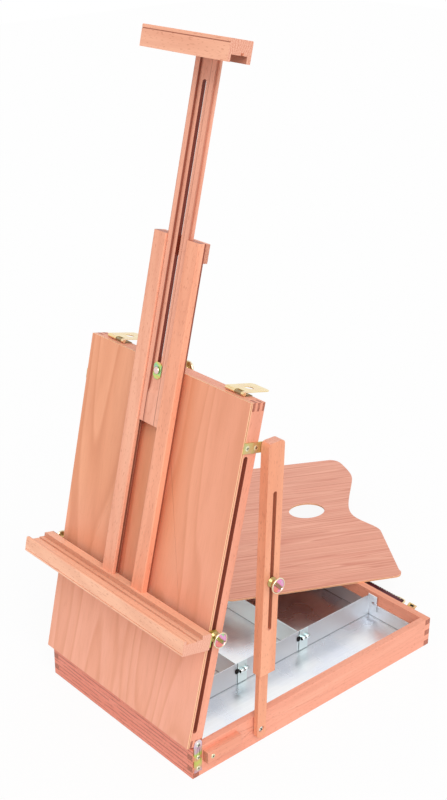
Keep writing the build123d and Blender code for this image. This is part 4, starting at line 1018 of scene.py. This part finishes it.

# ---- Lid walls
# Four beech boards like the base's, finger-jointed and glued, with a long slot through each
# side wall for the ledge's bolt. Painted shade darkens the inside of the slot.
SIDE_SLOT_N = 16.5
SIDE_SLOT_HALF = 3.8
corner_out = LID_CORNER.dot(OUT_OF_LID) * 1000
corner_up = LID_CORNER.dot(UP_LID) * 1000
dress(["lid_left_wall", "lid_right_wall"],
      beech("oiled beech lid side", UP_LID, "#F5A78B", "#E99A7D", 12.0, shades=(
          (0.85, OUT_OF_LID, (OUT_OF_LID, corner_out + SIDE_SLOT_N, SIDE_SLOT_HALF)),)), 0.5)
dress(["lid_top_wall", "lid_hinge_wall"],
      beech("oiled beech lid end", ACROSS, "#F6AB8F", "#EA9E81", 14.0), 0.5)

# ---- Lid panel
# A plywood panel with a peeled beech face glued over the walls, grain up the lid. The
# figure is long lobes, and the face is paler towards the ledge.
PANEL_BACK = 21.0
PANEL_PLY = 4 / 3
dress(["lid_panel"],
      veneer("beech plywood, lid panel", UP_LID, OUT_OF_LID, corner_out + PANEL_BACK, PANEL_PLY,
             "#F4AA83", "#EA9D76", "#C4764F", (620, 80), 10.0, 4.0,
             tones=((ACROSS, 20.0, 110.0, 0.65, "#F2A588"),
                    (UPRIGHT, 330.0, 110.0, 0.7, "#F7B29A"))), 0.3)

# ---- Canvas ledge
# One moulded beech bar, grain lengthwise, held by an angle bracket at each end. Painted
# shade darkens the inner corners of its steps and the gap at its back.
PALE_ENDS = ("#E09C82", "#F3B8A0")
# painted shade: share of dark, mm out of the lid and half width of each line along the moulding
LEDGE_LINES = ((0.7, 33.4, 1.0), (0.28, 49.0, 0.9), (0.30, 57.0, 0.6), (0.45, 75.1, 0.7),
               (0.10, 53.0, 5.0))
dress(["ledge"],
      beech("oiled beech moulding", ACROSS, "#FFC6A6", "#F8B896", 21.0, PALE_ENDS,
            [(share, None, (OUT_OF_LID, corner_out + out, half))
             for share, out, half in LEDGE_LINES]), 0.6)

# ---- Rails and batten
# Two grooved beech rails glued on the ledge, joined at the top by a batten behind. Painted
# shade darkens the grooves, where the mast's tongues slide, and the foot of the rails' sides.
RAIL_GROOVE_N = (35.2, 38.4)
GROOVE_X = 21.6
RAIL_FOOT_N = 32.4
groove_middle = corner_out + sum(RAIL_GROOVE_N) / 2
groove_half = (RAIL_GROOVE_N[1] - RAIL_GROOVE_N[0]) / 2 + 0.3
for hand, side, light, deep, seed in (("right", 1, "#FBAF8D", "#F19F7D", 31.0),
                                      ("left", -1, "#FBB99A", "#F1A788", 37.0)):
    rail_shade = ((0.9, ACROSS, (OUT_OF_LID, corner_out + RAIL_FOOT_N, 2.4)),
            (0.75, None, (OUT_OF_LID, groove_middle, groove_half), (ACROSS, side * GROOVE_X, 1.5)))
    dress([f"rail_{hand}"], beech(f"oiled beech rail, {hand}", UP_LID, light, deep, seed,
                                  shades=rail_shade), 0.5)
dress(["rail_batten"], beech("oiled beech batten", ACROSS, "#F3A98C", "#E89D80", 41.0,
                             ("#B86F58", "#E2A085")), 0.3)

# ---- Mast and clamp head
# A beech bar that slides between the rails, with a moulded head that holds the canvas. The
# clamp bolt runs in the mast's slot. Painted shade darkens the slot, the channel's sides and
# the mast's edges where it meets the rails.
CHANNEL_SIDE = 10.5
MAST_EDGE = 19.3
# painted shade lines: share of dark, mm across the mast and half width
mast_lines = ((0.75, -CHANNEL_SIDE, 0.7), (0.22, 1.6 - CHANNEL_SIDE, 1.6),
              (0.55, CHANNEL_SIDE, 0.6), (0.45, MAST_EDGE, 0.5), (0.45, -MAST_EDGE, 0.5))
dress(["mast"], beech("oiled beech mast", UP_LID, "#F9B69A", "#EFA488", 51.0, shades=(
    (1.0, ACROSS, (ACROSS, 0.0, 3.9)),
    *((share, None, (ACROSS, x, half)) for share, x, half in mast_lines))), 0.3)
dress(["clamp_head"],
      beech("oiled beech clamp head", ACROSS, "#FDBD9D", "#F3AC8C", 57.0, ("#D98E74", "#F3B89E"),
            # painted shade in the groove near the top of the front, and inside the head's channel
            ((0.55, OUT_OF_LID, (UP_LID, corner_up + 878.2, 0.5)),
             (0.6, None, (OUT_OF_LID, corner_out + 64.05, 12.9),
              (UP_LID, corner_up + 861.3, 4.2)))), 0.6)
dress(["head_block"], beech("oiled beech block, mast", UP_LID, "#F0A98C", "#E59C7F", 61.0), 0.3)

# ---- Struts
# Each strut is a slotted and channelled beech bar that slides over a flat bar, and is
# clamped to it by a bolt and a knob. Painted shade darkens the inside of the slot.
STRUT_RISE = Vector((0, 0.017096, 0.999854))
STRUT_FRONT = Vector((0, -0.999854, 0.017096))
STRUT_FOOT = Vector((0, -0.124, 0.029))
STRUT_SLOT_HALF = 3.6
strut_middle = STRUT_FOOT.dot(STRUT_FRONT) * 1000
dress(["strut_upper_right", "strut_upper_left"],
      beech("oiled beech strut", STRUT_RISE, "#F9B18C", "#EE9F7A", 71.0, PALE_ENDS,
            ((0.6, STRUT_FRONT, (STRUT_FRONT, strut_middle, STRUT_SLOT_HALF)),)), 0.5)
dress(["strut_bar_right", "strut_bar_left"],
      beech("oiled beech strut bar", STRUT_RISE, "#F8B18C", "#EC9F7B", 77.0, PALE_ENDS), 0.5)

# ---- Clamp knobs
# Pressed and plated steel discs with a rolled rim and a pressed grip bar, yellow
# passivated. The film in the dish shifts from pink to green round the disc.
KNOB_FILM = ((0.24, "#9FE39A"), (0.36, "#F0A6D6"), (0.56, "#F096C0"), (0.68, "#EE8C8C"),
             (0.80, "#F0907A"))


def knob_finish():
    """Passivated disc: hues in the dish, a pale worn rim, and a brass-brown stem."""
    made, shader, where, _ = finish_of("yellow zinc knob")
    sheet = add("ShaderNodeUVMap", tree=made.node_tree, uv_map="turned")
    place = add("ShaderNodeSeparateXYZ", {0: sheet}).node.outputs
    blotch = add("ShaderNodeTexNoise", {"Vector": where, "Scale": 90.0})
    field = add("ShaderNodeMath", {0: waves(place[0], 2 * math.pi), 1: -0.24,
                                         2: blotch}, operation="MULTIPLY_ADD")
    dish = add("ShaderNodeMapRange", {0: place[1], 1: 0.70, 2: 0.76})
    colour = add("ShaderNodeMixRGB", {0: dish, 1: srgb("#B9A067"), 2: film_hues(field, KNOB_FILM)})
    rim = add("ShaderNodeMath", {0: place[1], 1: 0.66}, operation="SUBTRACT")
    rim = add("ShaderNodeMath", {0: rim}, operation="ABSOLUTE")
    rim = add("ShaderNodeMapRange", {0: rim, 1: 0.07, 2: 0.05})
    colour = add("ShaderNodeMixRGB", {0: rim, 1: colour, 2: srgb("#F1E7C8")})
    wire(shader, {"Base Color": colour, "Metallic": 0.9, "Roughness": 0.24,
                        "Normal": grit(where, 0.05)})
    return made


KNOB_PROFILE = ((0, 0.2), (7.2, 0.2), (7.6, 0.6), (7.5, 1.2), (6.2, 2.2), (5.2, 3.2),
                (4.6, 4.2), (4.6, 7.2), (5.0, 8.2), (6.2, 9.0), (8.4, 9.8), (10.2, 10.7),
                (10.9, 11.5), (11.0, 12.4), (10.8, 13.2), (10.4, 13.7), (9.9, 13.6),
                (9.5, 13.0), (9.0, 12.3), (8.2, 11.9), (0, 11.8))
GRIP_SECTION = ((-2.5, 11.6), (-2.35, 13.8), (-1.7, 14.4), (-0.9, 14.2), (-0.35, 13.2),
                (0.35, 13.2), (0.9, 14.2), (1.7, 14.4), (2.35, 13.8), (2.5, 11.6))
GRIP_FOOT = 11.6
GRIP_HALF = 8.6
# places along the grip as shares of its half length, with the height there
GRIP_RISE = ((-1.0, 0.55), (-0.93, 0.9), (-0.8, 1.0), (0.8, 1.0), (0.93, 0.9), (1.0, 0.55))
knob_zinc = knob_finish()
grip_zinc = yellow_zinc("yellow zinc grip", "#8E7B45", 0.25, 0.3, 6.0)


def knob(node, body, seat, axis, roll):
    """A turned knob with its pressed grip bar along roll, in place of a CAD knob."""
    shape = turned(KNOB_PROFILE, seat, roll, axis)
    aside = axis.cross(roll)
    loops = [[shape.verts.new(seat + (roll * (GRIP_HALF * share) + aside * v
                                      + axis * (GRIP_FOOT + (h - GRIP_FOOT) * lift)) / 1000)
              for v, h in GRIP_SECTION] for share, lift in GRIP_RISE]
    for face in (*skin(shape, loops), shape.faces.new(loops[0]), shape.faces.new(loops[-1])):
        face.material_index = 1
    made = shown(f"{node}_turned", shape, (knob_zinc, grip_zinc), body)
    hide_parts(node)


KNOB_GAP = 0.15
GRIP_TURN = Vector((0, 0.68, -0.73)).normalized()
for side, hand in ((1, "right"), (-1, "left")):
    for kind in ("ledge", "strut"):
        node = f"{kind}_knob_{hand}"
        low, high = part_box(node)
        inner = low[0] if side > 0 else high[0]
        seat = Vector((inner - side * KNOB_GAP / 1000, (low[1] + high[1]) / 2,
                       (low[2] + high[2]) / 2))
        knob(node, node, seat, Vector((side, 0, 0)), GRIP_TURN)
knob("mast_knob", "mast_knob", on_lid(0, CLAMP_S, 0), -OUT_OF_LID, ACROSS)
dress(["mast_knob", "strut_knob_right", "strut_knob_left", "ledge_knob_right",
       "ledge_knob_left"], grip_zinc)

# ---- Palette
# Plywood with a striped hardwood face, cut with a wavy far edge and sanded round the rim.
# It lies loose across the box, and its underside is a little darker.
PALETTE_GRAIN = Vector((-0.4384, -0.8988, 0))
palette_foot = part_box("palette")[0][2] * 1000
dress(["palette"], veneer("hardwood plywood, palette", PALETTE_GRAIN, UPRIGHT, palette_foot, 1.0,
                          "#EDAC93", "#DC9079", "#B46C55", (700, 16), 10.0, 8.0,
                          shades=((0.4, None, (UPRIGHT, palette_foot, 0.2)),)), 0.3)

low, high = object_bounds()
